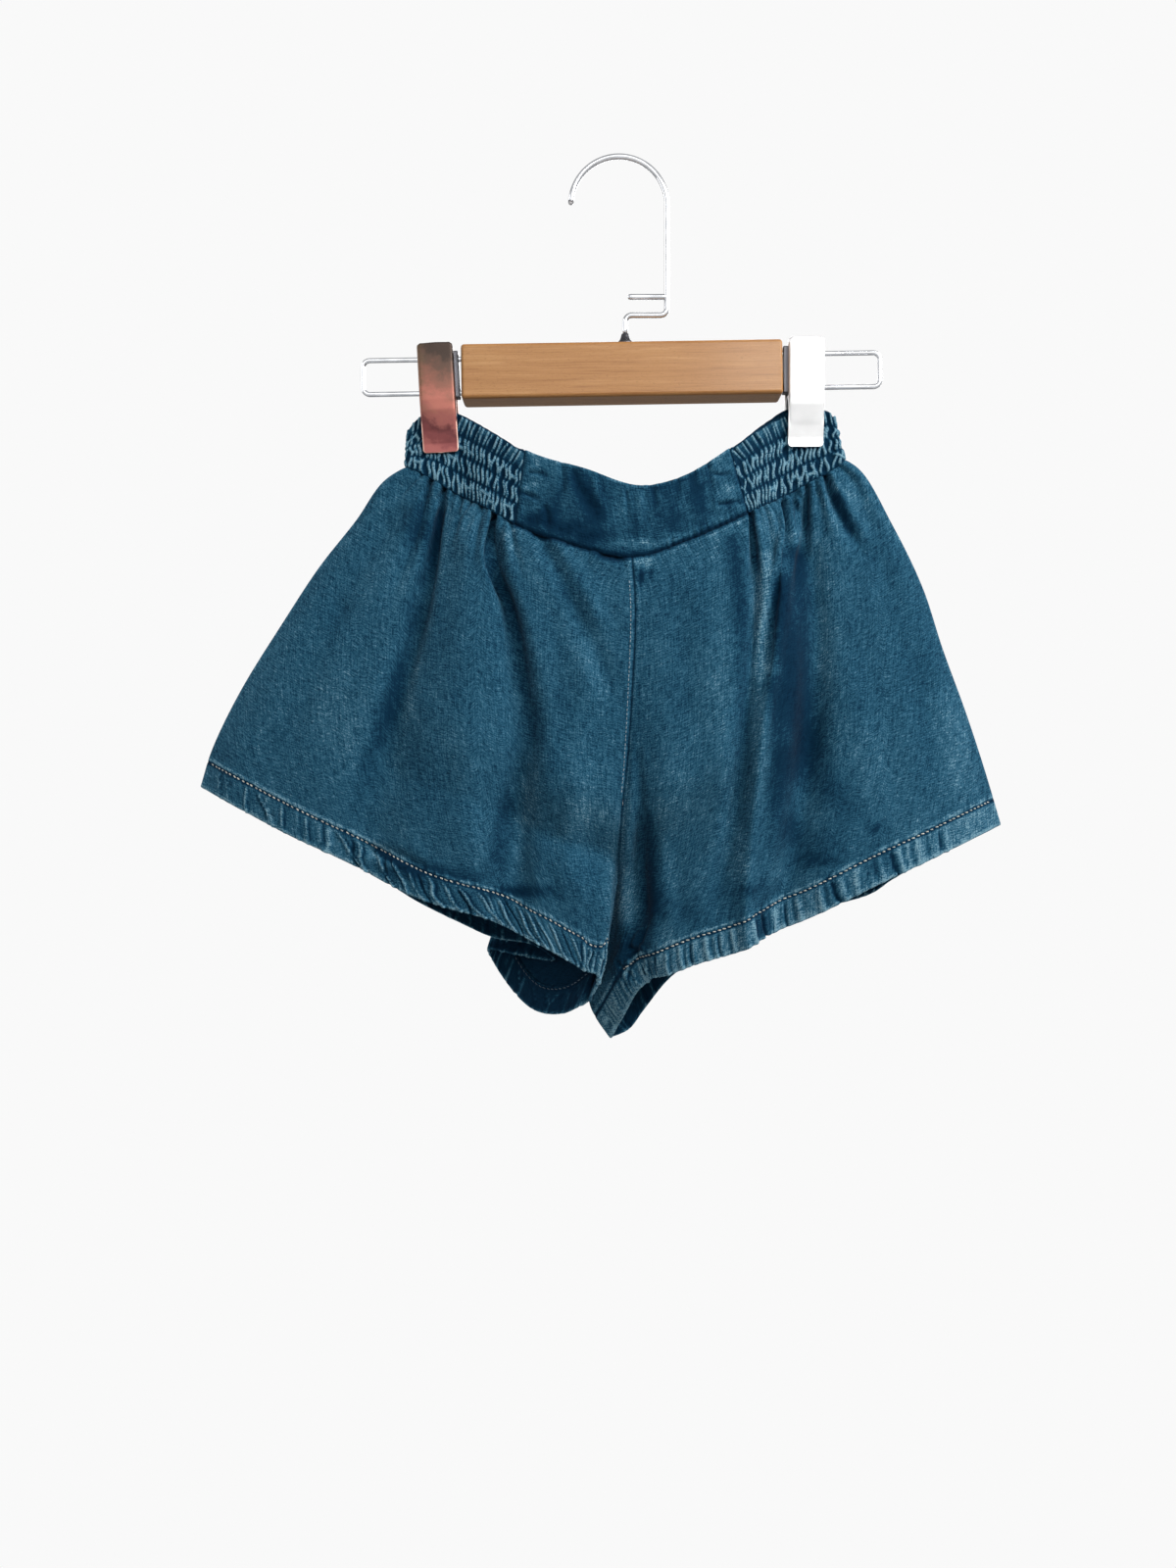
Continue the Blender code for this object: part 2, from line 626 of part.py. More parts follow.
def rounded_path(corners, radius, steps=4):
    """Points of a path through the corners, each inner corner rounded to the radius."""
    path = [Vector(corners[0])]
    for before, corner, after in zip(corners, corners[1:], corners[2:]):
        corner = Vector(corner)
        back = (Vector(before) - corner).normalized()
        on = (Vector(after) - corner).normalized()
        half = back.angle(on) / 2
        centre = corner + (back + on).normalized() * (radius / math.sin(half))
        first = corner + back * (radius / math.tan(half)) - centre
        last = corner + on * (radius / math.tan(half)) - centre
        sweep = math.pi - 2 * half
        for step in range(steps + 1):
            part = sweep * step / steps
            arm = first * math.sin(sweep - part) + last * math.sin(part)
            path.append(centre + arm / math.sin(sweep))
    path.append(Vector(corners[-1]))
    return path


def add_wire(name, path, radius, material, collection, parent=None):
    """A round wire along a path of points in mm."""
    curve = bpy.data.curves.new(name, "CURVE")
    curve.dimensions = "3D"
    curve.bevel_depth = radius * MM
    curve.bevel_resolution = 2
    curve.use_fill_caps = True
    line = curve.splines.new("POLY")
    line.points.add(len(path) - 1)
    for point, place in zip(line.points, path):
        point.co = (*(Vector(place) * MM), 1.0)
    return add_object(name, curve, material, collection, parent)


def curve_to_mesh(item, material, collection):
    """Replaces a curve object by a closed mesh with the same name and place."""
    bpy.context.view_layer.update()
    graph = bpy.context.evaluated_depsgraph_get()
    mesh = bpy.data.meshes.new_from_object(item.evaluated_get(graph))
    shape = bmesh.new()
    shape.from_mesh(mesh)
    bmesh.ops.remove_doubles(shape, verts=shape.verts, dist=0.00001)
    shape.to_mesh(mesh)
    shape.free()
    name, place = item.name, item.matrix_world.copy()
    bpy.data.objects.remove(item, do_unlink=True)
    mesh.materials.clear()
    solid = add_object(name, mesh, material, collection)
    solid.matrix_world = place
    return solid


# ---------------------------------------------------------------- the parts


def make_shorts(collection, cloth):
    for name, panel in PANELS.items():
        points = panel_grid(panel)
        add_sheet(name, points, PANEL_WALL, cloth, collection)
        hem_name = name.replace("leg", "hem")
        add_sheet(hem_name, turned_hem(panel, points), HEM_WALL, cloth, collection)
    yoke = band_grid(np.linspace(5 + SEAM_INSET, 7 - SEAM_INSET, YOKE_COLUMNS))
    add_sheet("front_yoke", yoke, YOKE_WALL, cloth, collection)
    elastic = band_grid(columns_of(ELASTIC_COLUMNS))
    add_sheet("elastic_waistband", elastic, BAND_WALL, cloth, collection)


def make_bar(collection, cutters, wood, steel):
    """The wooden bar, bored at each end, and the wire loops that are pushed into the bores."""
    frame = add_empty("bar_frame", BAR_CENTRE, BAR_TILT, collection)
    size = (BAR_LENGTH, BAR_DEPTH, BAR_HEIGHT)
    bar = add_box("hanger_bar", size, 1.2, wood, collection, parent=frame)
    for name, side in (("left", -1), ("right", 1)):
        end = side * BAR_LENGTH / 2
        for height in (-WIRE_SPACING / 2, WIRE_SPACING / 2):
            ends = sorted((end - side * (WIRE_SOCKET + GAP), end + side * 5))
            start, stop = ((x, 0.0, height) for x in ends)
            cutter_name = f"socket_{name}_{'low' if height < 0 else 'high'}"
            socket = add_cutter_rod(cutter_name, WIRE_RADIUS + GAP, start, stop, cutters, frame, 12)
            cut(bar, socket)
        inner = end - side * WIRE_SOCKET
        reach = side * WIRE_REACH
        corners = [
            (inner, 0, WIRE_SPACING / 2),
            (reach, 0, WIRE_SPACING / 2),
            (reach, 0, -WIRE_SPACING / 2),
            (inner, 0, -WIRE_SPACING / 2),
        ]
        path = rounded_path(corners, WIRE_CORNER)
        add_wire(f"end_loop_{name}", path, WIRE_RADIUS, steel, collection, frame)


def make_hook(collection, steel, dark):
    """The crook, its shank, the jog below it and the collar on the bar."""
    centre_z = HOOK_WIRE_RADIUS - CROOK_RADIUS
    bar_top = BAR_CENTRE[2] + BAR_HEIGHT / 2
    crook = []
    for step in range(CROOK_STEPS + 1):
        angle = math.pi * (1 - step / CROOK_STEPS)
        crook.append((CROOK_RADIUS * math.cos(angle), 0, centre_z + CROOK_RADIUS * math.sin(angle)))
    foot = bar_top + COLLAR[2] + 2 * GAP
    corners = [crook[-1], (CROOK_RADIUS, 0, JOG_Z), (JOG_X, 0, JOG_Z), (JOG_X, 0, foot)]
    bends = rounded_path(corners, JOG_CORNER)
    wire = add_wire("hook_wire", crook[:-1] + bends, HOOK_WIRE_RADIUS, steel, collection)
    inside_shank = CROOK_RADIUS - HOOK_WIRE_RADIUS / 4
    stub_path = [(inside_shank, 0, STUB_Z), (JOG_X + HOOK_WIRE_RADIUS, 0, STUB_Z)]
    stub = add_wire("hook_stub", stub_path, HOOK_WIRE_RADIUS, steel, collection)
    wire = curve_to_mesh(wire, steel, collection)
    stub = curve_to_mesh(stub, steel, collection)
    join = wire.modifiers.new("stub", "BOOLEAN")
    join.operation = "UNION"
    join.object = stub
    stub.hide_render = True
    stub.display_type = "WIRE"

    mesh = bpy.data.meshes.new("hook_collar")
    shape = bmesh.new()
    low, high, height = COLLAR
    bmesh.ops.create_cone(
        shape, cap_ends=True, segments=20, radius1=low * MM, radius2=high * MM, depth=height * MM
    )
    shape.to_mesh(mesh)
    shape.free()
    collar = add_object("hook_collar", mesh, dark, collection)
    collar.location = (JOG_X * MM, 0.0, (bar_top + GAP + height / 2) * MM)


def clip_plate_points(face):
    """Middle surface of a clip plate, bent in at its jaw and flanged along its sides above it.

    Columns of the table: height above the slider's middle, distance from the wires, how deep
    the side flanges are turned. The points of each edge's bend are (inset, drop) from the
    plate's flat face, and they spread out along it where the flange ends.
    """
    top, foot = CLIP_HEIGHT * 0.26, -CLIP_HEIGHT * 0.74
    sections = (
        (top, 8.6, CLIP_FLANGE),
        (-0.26 * CLIP_HEIGHT, 8.6, CLIP_FLANGE),
        (-0.36 * CLIP_HEIGHT, 8.0, 2.0),
        (foot + 12.0, JAW_REACH + 1.2, 0.0),
        (foot + 5.0, JAW_REACH, 0.0),
        (foot, JAW_REACH, 0.0),
    )
    half = CLIP_WIDTH / 2 - CLIP_SHEET / 2
    rows = []
    for height, reach, flange in sections:
        corner = min(CLIP_CORNER, flange)
        spread = CLIP_CORNER - corner
        edge = (
            (0.0, flange), (0.7 * spread, corner), (0.3 * CLIP_CORNER + 1.1 * spread, 0.3 * corner),
            (CLIP_CORNER + spread, 0.0),
        )
        outline = [(inset - half, reach - drop) for inset, drop in edge]
        outline += [(half - inset, reach - drop) for inset, drop in reversed(edge)]
        rows.append([(x, face * depth, height) for x, depth in outline])
    return np.array(rows)


def make_clip(name, x, z, lean, collection, cutters, steel):
    """One clip: two bent plates either side of a slider that the two wires run through."""
    frame = add_empty(f"clip_{name}_frame", (x, 0.0, z), math.radians(lean), collection)
    slider = add_box(f"clip_{name}_slider", SLIDER_SIZE, 0.8, steel, collection, parent=frame)
    towards_bar = (math.copysign(NECK_PLACE, -x), 0, 0)
    neck = add_box(f"neck_{name}", SLIDER_NECK, 0.5, None, cutters, towards_bar, frame)
    neck.hide_render = True
    neck.display_type = "WIRE"
    join = slider.modifiers.new("neck", "BOOLEAN")
    join.operation = "UNION"
    join.object = neck
    for label, height in (("low", -WIRE_SPACING / 2), ("high", WIRE_SPACING / 2)):
        reach = SLIDER_SIZE[0]
        bore = add_cutter_rod(
            f"bore_{name}_{label}", WIRE_RADIUS + 2 * GAP,
            (-reach, 0, height), (reach, 0, height), cutters, frame,
        )
        cut(slider, bore)
    for label, face in (("front", -1), ("back", 1)):
        points = clip_plate_points(face)
        add_sheet(f"clip_{name}_{label}", points, CLIP_SHEET, steel, collection, frame)


def main():
    clear_scene()
    collection = new_collection("chambray_shorts_on_clip_hanger")
    cutters = new_collection("cutters", shown=False)
    cloth = make_material("chambray", (0.05, 0.12, 0.19), 0.9)
    wood = make_material("beech", (0.62, 0.38, 0.18), 0.45)
    steel = make_material("plated_steel", (0.75, 0.75, 0.76), 0.2, 1.0)
    copper = make_material("copper_plate", (0.72, 0.38, 0.30), 0.22, 1.0)
    dark = make_material("dark_steel", (0.10, 0.10, 0.11), 0.4, 1.0)
    make_shorts(collection, cloth)
    make_bar(collection, cutters, wood, steel)
    make_hook(collection, steel, dark)
    for (name, x, z, lean), metal in zip(CLIPS, (copper, steel)):
        make_clip(name, x, z, lean, collection, cutters, metal)


main()
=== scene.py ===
"""The looks of the chambray shorts on their clip hanger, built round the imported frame.

Each cut piece of cloth is a thin closed wall on its solid's form, with its gathers, creases,
puckers and smocking worked into it and its stitches laid on it. The hanger's bar, wires and
clips are made again in the same places, at full fineness.

Frame: the origin is the inner top of the hook. +X is the viewer's right, +Y points away from
the viewer, and +Z is up. Lengths are millimetres until a mesh is made.
"""

import math

import bmesh
import bpy
import numpy as np
from mathutils import Matrix, Vector


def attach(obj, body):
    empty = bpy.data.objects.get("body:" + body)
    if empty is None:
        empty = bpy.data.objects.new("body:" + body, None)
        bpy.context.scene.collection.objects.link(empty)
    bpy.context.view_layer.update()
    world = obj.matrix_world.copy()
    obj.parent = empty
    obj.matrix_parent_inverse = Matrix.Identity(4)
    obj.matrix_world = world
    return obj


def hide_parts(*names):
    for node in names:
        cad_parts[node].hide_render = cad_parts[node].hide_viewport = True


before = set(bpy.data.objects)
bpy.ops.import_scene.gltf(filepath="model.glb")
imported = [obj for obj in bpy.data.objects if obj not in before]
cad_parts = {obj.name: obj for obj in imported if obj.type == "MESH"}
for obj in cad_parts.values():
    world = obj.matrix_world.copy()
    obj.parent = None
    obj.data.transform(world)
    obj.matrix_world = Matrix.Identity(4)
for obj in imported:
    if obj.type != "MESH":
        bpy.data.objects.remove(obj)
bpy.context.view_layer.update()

MM = 0.001

# ---------------------------------------------------------------- driving sizes

GAP = 0.3  # between any two pieces
LIP = 1.0  # the last stretch of a panel, square to its seam
HEM_HEIGHT = 14.5

CLOTH_HALF = 0.28  # half the thickness of the legs' cloth
BAND_HALF = 0.34
YOKE_HALF = 0.72
HEM_SPACING = 0.95  # between the middles of the hem's two layers
SEAM_START = 0.31  # from a seam's line to the middle of the cloth's edge
CROTCH_CLEARANCE = 0.1  # more at the crotch

# The rows of a leg panel from the waist to the hem's stitches, and across the hem.
BODY_RUNS = ((0.0, 0.2, 34), (0.214, 0.955, 42), (0.9625, 1.0, 10))
STITCH_ROW = 85
HEM_ROWS = 16
FOLD_ROWS = 4
BAND_RUNS = ((1, 2, 205), (2, 4, 520), (4, 5, 205))  # from and to which station, columns
BAND_ROWS = 46
BAND_STRETCH = 1.6  # length of cloth in a length of the gathered band
THREAD_PITCH = 0.46  # of the weave
SMOCK_LINES = (0.04, 0.27, 0.50, 0.735, 1.0)  # shares down the band of its gathering threads
SMOCK_HEIGHTS = (1.15, 0.85, 0.85, 0.85)  # of the ridges in the rows between them
YOKE_COLUMNS = 200
YOKE_ROWS = 42
SEAM_STITCHES = (-245, -372)  # heights between which the centre seam's stitches show
STITCH_SIDES = 6
# The rings of a stitch. Columns: place along it (-1 to 1), share of its radius, dip into the cloth.
STITCH_RINGS = ((-1, 0.35, -1), (-0.72, 0.9, -0.25), (0, 1, 0), (0.72, 0.9, -0.25), (1, 0.35, -1))
FRONT_COLUMNS = ((0.0, 0.06, 26), (0.063, 0.985, 306))
PLAIN_COLUMNS = ((0.0, 0.06, 26), (0.064, 0.985, 222))
FLUTED_COLUMNS = ((0.0, 0.06, 22), (0.065, 0.57, 98), (0.574, 0.81, 92), (0.815, 0.985, 38))

SEAM_INSET = GAP / 2 / 40  # in waist stations, which are about 40 mm apart beside the yoke

BAR_LENGTH = 184.0
BAR_HEIGHT = 31.3
BAR_DEPTH = 18.0
BAR_CENTRE = (1.5, 0.0, -124.0)
BAR_TILT = math.radians(-0.9)
WIRE_RADIUS = 1.4
WIRE_SPACING = 19.6
WIRE_REACH = 149.5  # from the bar's centre to the middle of the outer wire
WIRE_CORNER = 4.0
CORNER_STEPS = 12
WIRE_SOCKET = 8.0
HOOK_WIRE_RADIUS = 1.6
CROOK_RADIUS = 27.8
JOG_X = 3.6
JOG_Z = -90.2
JOG_CORNER = 4.0
STUB_Z = -79.6
COLLAR = (4.9, 2.2, 7.0)  # radius at its foot, radius at its top, height
CLIP_WIDTH = 20.5
CLIP_HEIGHT = 61.0
CLIP_SHEET = 1.0
CLIP_FLANGE = 5.0
CLIP_CORNER = 1.2
CLIP_TIP = 1.8  # radius of a plate's lower corners
CLIP_BROW = 1.2  # radius of its upper ones
CLIP_ABOVE = 0.26  # the share of a plate above the clip's middle
SLIDER_SIZE = (13.0, 15.4, 29.0)
SLIDER_NECK_AND_SHADOW = (8.0, 5.4, 27.0)  # the part that passes out between the flanges, towards the bar, partly the slider's own dark side and partly a dark stand-in for the shadow between the clip and the bar's end
NECK_PLACE = 8.6  # from the clip's middle to the neck's
JAW_REACH = 4.0  # from the wires' plane to the middle of a plate at its jaw
COIL_RADIUS = 3.4  # of the spring between the plates
COIL_REACH = 4.2  # half the coil's length
COIL_Z = -20.5  # from the clip's middle to the coil's
COIL_TURNS = 6
TURN_STEPS = 20
CROOK_STEPS = 72
FLOOR_HALF = 600.0
FLOOR_Z = -1250.0
# Each clip: its name, x and z, and how far it leans, in degrees.
CLIPS = (
    ("left", -104.8, -125.6, -3.1),
    ("right", 107.2, -122.2, 0.0),
)

# ------------------------------------------------------- where the edges hang

# The waistband's two edges. A station runs round the waist: 0 front centre, 1 left yoke seam,
# 2 left side, 3 back centre, 4 right side, 5 right yoke seam, 6 front centre again.
# Columns: station, top edge x y z, bottom seam x y z.
WAIST = (
    (0, 9, -17, -193.4, 6.9, -18, -233.2), (0.45, -17.9, -16, -184.4, -23, -16.5, -227),
    (1, -54.1, -12, -171.9, -59.6, -12.5, -213.6), (1.3, -73.8, -7.5, -158.9, -77, -9, -203.4),
    (1.55, -92, -1.6, -147.4, -92, -2.8, -195.2), (1.7, -104, -1.5, -143.2, -105, -2.4, -187.4),
    (1.84, -115.5, -1.9, -149.4, -117.5, -2.6, -180.6),
    (1.94, -121.2, -1.9, -156.6, -122.2, -2.2, -178.8),
    (2, -122.6, 0.2, -159.4, -123.4, 0.4, -178), (2.06, -121.2, 2.1, -157, -122, 2.6, -178.9),
    (2.12, -116.8, 2.1, -151.6, -117.8, 2.6, -180.6),
    (2.23, -104, 1.5, -143.6, -105, 2.4, -187.6), (2.35, -92, 1.6, -147.2, -92, 3, -195.4),
    (2.6, -54.1, 9, -170.6, -58, 12, -213), (3, 7, 14, -188.8, 6.9, 17, -231),
    (3.4, 60, 8.6, -168.4, 64, 11, -209.6), (3.65, 97, 1.6, -144.2, 97, 3, -194),
    (3.77, 108.5, 1.5, -141.6, 109.5, 2.4, -187.4), (3.88, 118.8, 1.8, -144, 123, 2.4, -180),
    (3.95, 123.2, 2, -148, 129.2, 2.4, -175.4), (4, 124.6, 0.2, -149.8, 131, 0.4, -173.6),
    (4.05, 123.2, -1.7, -148.4, 129.2, -2, -175.6),
    (4.16, 118.8, -1.8, -145.2, 123, -2.4, -180.4),
    (4.3, 108.5, -1.5, -142.6, 109.5, -2.3, -187.6), (4.45, 96, -1.6, -147.8, 96, -2.8, -195.2),
    (4.7, 79, -7, -158.4, 83, -9, -202), (5, 62.8, -12, -171, 73, -12.5, -207.2),
    (5.5, 36, -16, -188, 38, -16.8, -223.4),
)
STATIONS = 6

# The outer edge of each leg, from the waist to the hem. Columns: share, x, y, z.
SIDE_LEFT = (
    (0, -123.4, 0.4, -178.8), (0.06, -134, 1.5, -185), (0.2, -152.5, 2.5, -209.5),
    (0.34, -173.3, 3, -235.5), (0.5, -195, 3, -268.5), (0.68, -218.3, 3, -306),
    (0.86, -235.5, 3, -341), (1, -242.2, 3, -362.4),
)
SIDE_RIGHT = (
    (0, 131, 0.4, -174.6), (0.05, 138.5, 1.5, -179.5), (0.2, 158.5, 2.5, -212),
    (0.36, 175.3, 3, -246), (0.54, 187.6, 3, -283), (0.72, 201.5, 3, -321),
    (0.88, 212.6, 3, -355), (1, 221, 3, -383.4),
)

# The centre seams, from the waist to the crotch. Columns: share of the way to the crotch, x, y, z.
CROTCH = (-0.3, 4.0, -415.3)
CENTRE_FRONT = (
    (0, 6.9, -18, -233.5), (0.16, 8.6, -20.5, -262), (0.4, 7, -20.5, -306),
    (0.62, 4.4, -19.6, -345), (0.84, 0.6, -14.5, -386), (1, *CROTCH),
)
CENTRE_BACK = (
    (0, 6.9, 17, -231.3), (0.18, 7.6, 21.5, -265), (0.42, 6, 24, -310), (0.64, 4, 21.5, -350),
    (0.84, 2, 15, -386), (1, *CROTCH),
)

# The inseams, from the crotch to the hem. Columns as above.
INSEAM_LEFT = (
    (0, *CROTCH), (0.1, -2.4, 1, -422), (0.3, -4.4, -1.4, -435.5), (0.55, -7.4, -1.4, -452.5),
    (0.78, -11, 0, -469.5), (1, -16.8, 2, -486.4),
)
INSEAM_RIGHT = (
    (0, *CROTCH), (0.1, -1.4, 8, -424.6), (0.32, -4.9, 13, -445), (0.6, -11.5, 17, -472),
    (0.8, -16.2, 19.5, -491), (0.9, -12.2, 20.5, -500.5), (1, -4.4, 22, -512),
)

# The four hem edges, from the side to the inseam. Columns: share, x, y, z.
HEM_FRONT_LEFT = (
    (0, -242.2, 3, -362.4), (0.03, -226, -7.5, -369.8), (0.08, -200.4, -15.5, -382.3),
    (0.17, -160.6, -23, -401.2), (0.29, -115.9, -26.5, -422.3), (0.42, -72.4, -25, -437.1),
    (0.54, -47.5, -22.5, -449.5), (0.69, -33.3, -20, -457.5), (0.84, -21, -15.5, -465.6),
    (0.95, -11.4, -7, -474.2), (1, -16.8, 2, -486.4),
)
HEM_FRONT_RIGHT = (
    (0, 221, 3, -384.4), (0.03, 203, -9, -391), (0.06, 179.7, -17, -401.1),
    (0.11, 150, -23, -414), (0.18, 113.6, -27, -431.9), (0.3, 84, -27.5, -445.2),
    (0.45, 63.7, -26, -454.4), (0.62, 43.9, -23.5, -460.8), (0.76, 27.2, -19, -468.1),
    (0.86, 15.9, -13, -474.4), (0.91, 9.6, -5, -480.4), (0.96, 2.6, 9, -496.4),
    (1, -4.4, 22, -512),
)
HEM_BACK_LEFT = (
    (0, -242.2, 3, -362.4), (0.04, -226, 13, -369), (0.15, -190, 21, -388),
    (0.3, -144.2, 22, -414.8), (0.46, -93.4, 16.5, -442.6), (0.53, -72.9, 13, -451),
    (0.6, -48.7, 12, -455.6), (0.645, -38.2, 17.5, -465), (0.705, -59.1, 23, -463.2),
    (0.752, -76.8, 26.4, -460.2), (0.765, -78.6, 29.6, -461.2), (0.778, -77.6, 33, -464.2),
    (0.83, -66.4, 37.5, -482.6), (0.89, -50.2, 27, -496.2), (0.95, -31.4, 14.5, -496),
    (1, -16.8, 2, -486.4),
)
HEM_BACK_RIGHT = (
    (0, 221, 3, -384.4), (0.04, 205, 14, -393), (0.14, 170, 24, -413), (0.26, 153, 27, -426),
    (0.45, 110, 32, -438), (0.65, 72, 34, -452.5), (0.82, 30.4, 35, -479.5),
    (0.91, 14.8, 32, -498), (0.96, 5.7, 28, -508.6), (1, -4.4, 22, -512),
)

# Between these shares the left back hem leaves its plain line and curls forward in a flute.
BACK_FLUTE = (0.5, 0.8)
NO_FLUTE = (2, 2)

# How far each panel stands out from its four edges. Columns: share down, depth.
FULLNESS = ((0, 0), (0.12, 5), (0.3, 9), (0.55, 10), (0.8, 6), (1, 0))

# The largest folds. Columns: share across at the waist and at the hem, how far it bows from the
# straight line between, where it starts and ends (share down), half width (share across) at its
# top and foot, depth at its top and foot.
# A positive depth is a trough, pushed into the leg, and a negative one is a ridge.
FOLDS_FRONT_LEFT = (
    (0.11, 0.11, 0, 0, 0.5, 0.025, 0.03, 3, 0.8), (0.25, 0.2, 0.06, 0, 1, 0.035, 0.055, 6, 9),
    (0.4, 0.36, 0.06, 0.05, 1, 0.08, 0.09, -3, -6),
    (0.49, 0.42, 0.175, 0, 1, 0.035, 0.075, 7.5, 8.5),
    (0.8, 0.8, 0, 0.2, 0.95, 0.1, 0.09, -2.2, -4.5),
)
FOLDS_FRONT_RIGHT = (
    (0.06, 0.08, 0, 0, 0.45, 0.03, 0.03, 4.5, 0.8),
    (0.24, 0.25, 0.04, 0, 1, 0.035, 0.08, 5.2, 12),
    (0.36, 0.385, 0.13, 0.05, 1, 0.03, 0.042, -3.6, -5),
    (0.585, 0.54, 0.03, 0, 0.95, 0.028, 0.055, 5, 4.5),
    (0.94, 0.84, 0.02, 0.4, 1, 0.034, 0.046, 5, 14),
)
FOLDS_BACK_LEFT = (
    (0.12, 0.12, 0, 0, 0.85, 0.035, 0.05, 4.5, 6), (0.24, 0.24, 0, 0, 1, 0.05, 0.06, -3, -6),
    (0.38, 0.38, 0, 0, 1, 0.035, 0.055, 6, 7.5), (0.62, 0.66, 0, 0, 0.8, 0.035, 0.06, 6, 4.5),
    (0.84, 0.84, 0, 0.05, 0.7, 0.06, 0.07, -4.5, -3),
)
FOLDS_BACK_RIGHT = (
    (0.14, 0.14, 0, 0, 1, 0.035, 0.06, 5.2, 9), (0.28, 0.28, 0, 0, 0.9, 0.05, 0.06, -3.8, -5.2),
    (0.42, 0.44, 0, 0, 1, 0.035, 0.07, 6, 9), (0.6, 0.62, 0, 0.05, 0.8, 0.05, 0.06, -3, -4.5),
    (0.76, 0.78, 0, 0, 0.9, 0.035, 0.06, 6, 6.8),
)

# --------------------------------------------------------------------- curves


def smooth_through(rows, at, closed=0):
    """Catmull-Rom spline through rows of (key, x, y, z), read at the keys in `at`.

    `closed` is the key's period when the curve runs round and back to its first row.
    """
    rows = np.array(rows, float)
    keys, points = rows[:, 0], rows[:, 1:]
    if closed:
        keys = np.concatenate([keys[-2:] - closed, keys, keys[:2] + closed])
        points = np.concatenate([points[-2:], points, points[:2]])
        at = np.mod(at, closed)
    else:
        keys = np.concatenate([[2 * keys[0] - keys[1]], keys, [2 * keys[-1] - keys[-2]]])
        ends = 2 * points[[0, -1]] - points[[1, -2]]
        points = np.concatenate([ends[:1], points, ends[1:]])
    at = np.atleast_1d(np.asarray(at, float))
    i = np.clip(np.searchsorted(keys, at, side="right") - 1, 1, len(keys) - 3)
    k0, k1, k2, k3 = (keys[i + n][:, None] for n in (-1, 0, 1, 2))
    p0, p1, p2, p3 = (points[i + n] for n in (-1, 0, 1, 2))
    width = k2 - k1
    slope_1 = ((p1 - p0) / (k1 - k0) * width + (p2 - p1) / width * (k1 - k0)) / (k2 - k0)
    slope_2 = ((p2 - p1) / width * (k3 - k2) + (p3 - p2) / (k3 - k2) * width) / (k3 - k1)
    u = (at[:, None] - k1) / width
    return (
        (2 * u**3 - 3 * u**2 + 1) * p1
        + (u**3 - 2 * u**2 + u) * slope_1 * width
        + (3 * u**2 - 2 * u**3) * p2
        + (u**3 - u**2) * slope_2 * width
    )


def ease(value, low, high):
    """0 below low, 1 above high, and a smooth step between."""
    u = np.clip((np.asarray(value, float) - low) / (high - low), 0, 1)
    return u * u * (3 - 2 * u)


def columns_of(runs):
    """The places of a grid's columns, from runs of (first, last, columns)."""
    return np.concatenate([np.linspace(*run) for run in runs])


def waist_edges(stations):
    """The waistband's top edge and bottom seam at the given stations."""
    top = smooth_through([row[:4] for row in WAIST], stations, closed=STATIONS)
    seam = smooth_through([(row[0], *row[4:]) for row in WAIST], stations, closed=STATIONS)
    return top, seam


# --------------------------------------------------------------- leg panels

YOKE_SHARE = 0.61  # the gathers beside the yoke hold this share of a front panel's cloth
SEAM_FADE = 1.4  # how fast the waist's own shape dies away downwards
HEM_FADE = 1.8  # how fast the hem's own shape dies away upwards
FLUTE_TOP = 0.55  # where the hem's flute has died away
CROTCH_TURN = 0.04  # the share over which an inner edge turns from centre seam to inseam
SIDE_ROUND = 0.08  # the share across in which front and back part at their side seam


def inner_edge(panel, down):
    """Centre seam to the crotch, then inseam, at shares `down` the panel."""
    crotch = panel["crotch"]
    above = smooth_through(panel["centre"], np.minimum(down / crotch, 1))
    below = smooth_through(panel["inseam"], np.maximum((down - crotch) / (1 - crotch), 0))
    return np.where((down <= crotch)[:, None], above, below)


def fold_depth(folds, across, down):
    """Sum of the folds' depths at each point of the panel."""
    depth = np.zeros_like(across)
    for top, foot, bow, start, end, width_top, width_foot, depth_top, depth_foot in folds:
        along = np.clip((down - start) / (end - start), 0, 1)
        middle = top + (foot - top) * along + 4 * bow * along * (1 - along)
        width = width_top + (width_foot - width_top) * along
        fade = ease(down, start - 0.02, start + 0.08)
        if end < 1:
            fade = fade * (1 - ease(down, end - 0.15, end))
        height = depth_top + (depth_foot - depth_top) * along
        depth += fade * height * np.exp(-(((across - middle) / width) ** 2))
    return depth


def waist_stations(panel, across):
    """Waist stations at shares across a panel. The gathers hold more cloth than the yoke."""
    if panel["face"] < 0:
        across = np.interp(across, (0, YOKE_SHARE, 1), (0, 0.5, 1))
    start, end = panel["stations"]
    return start + (end - start) * across


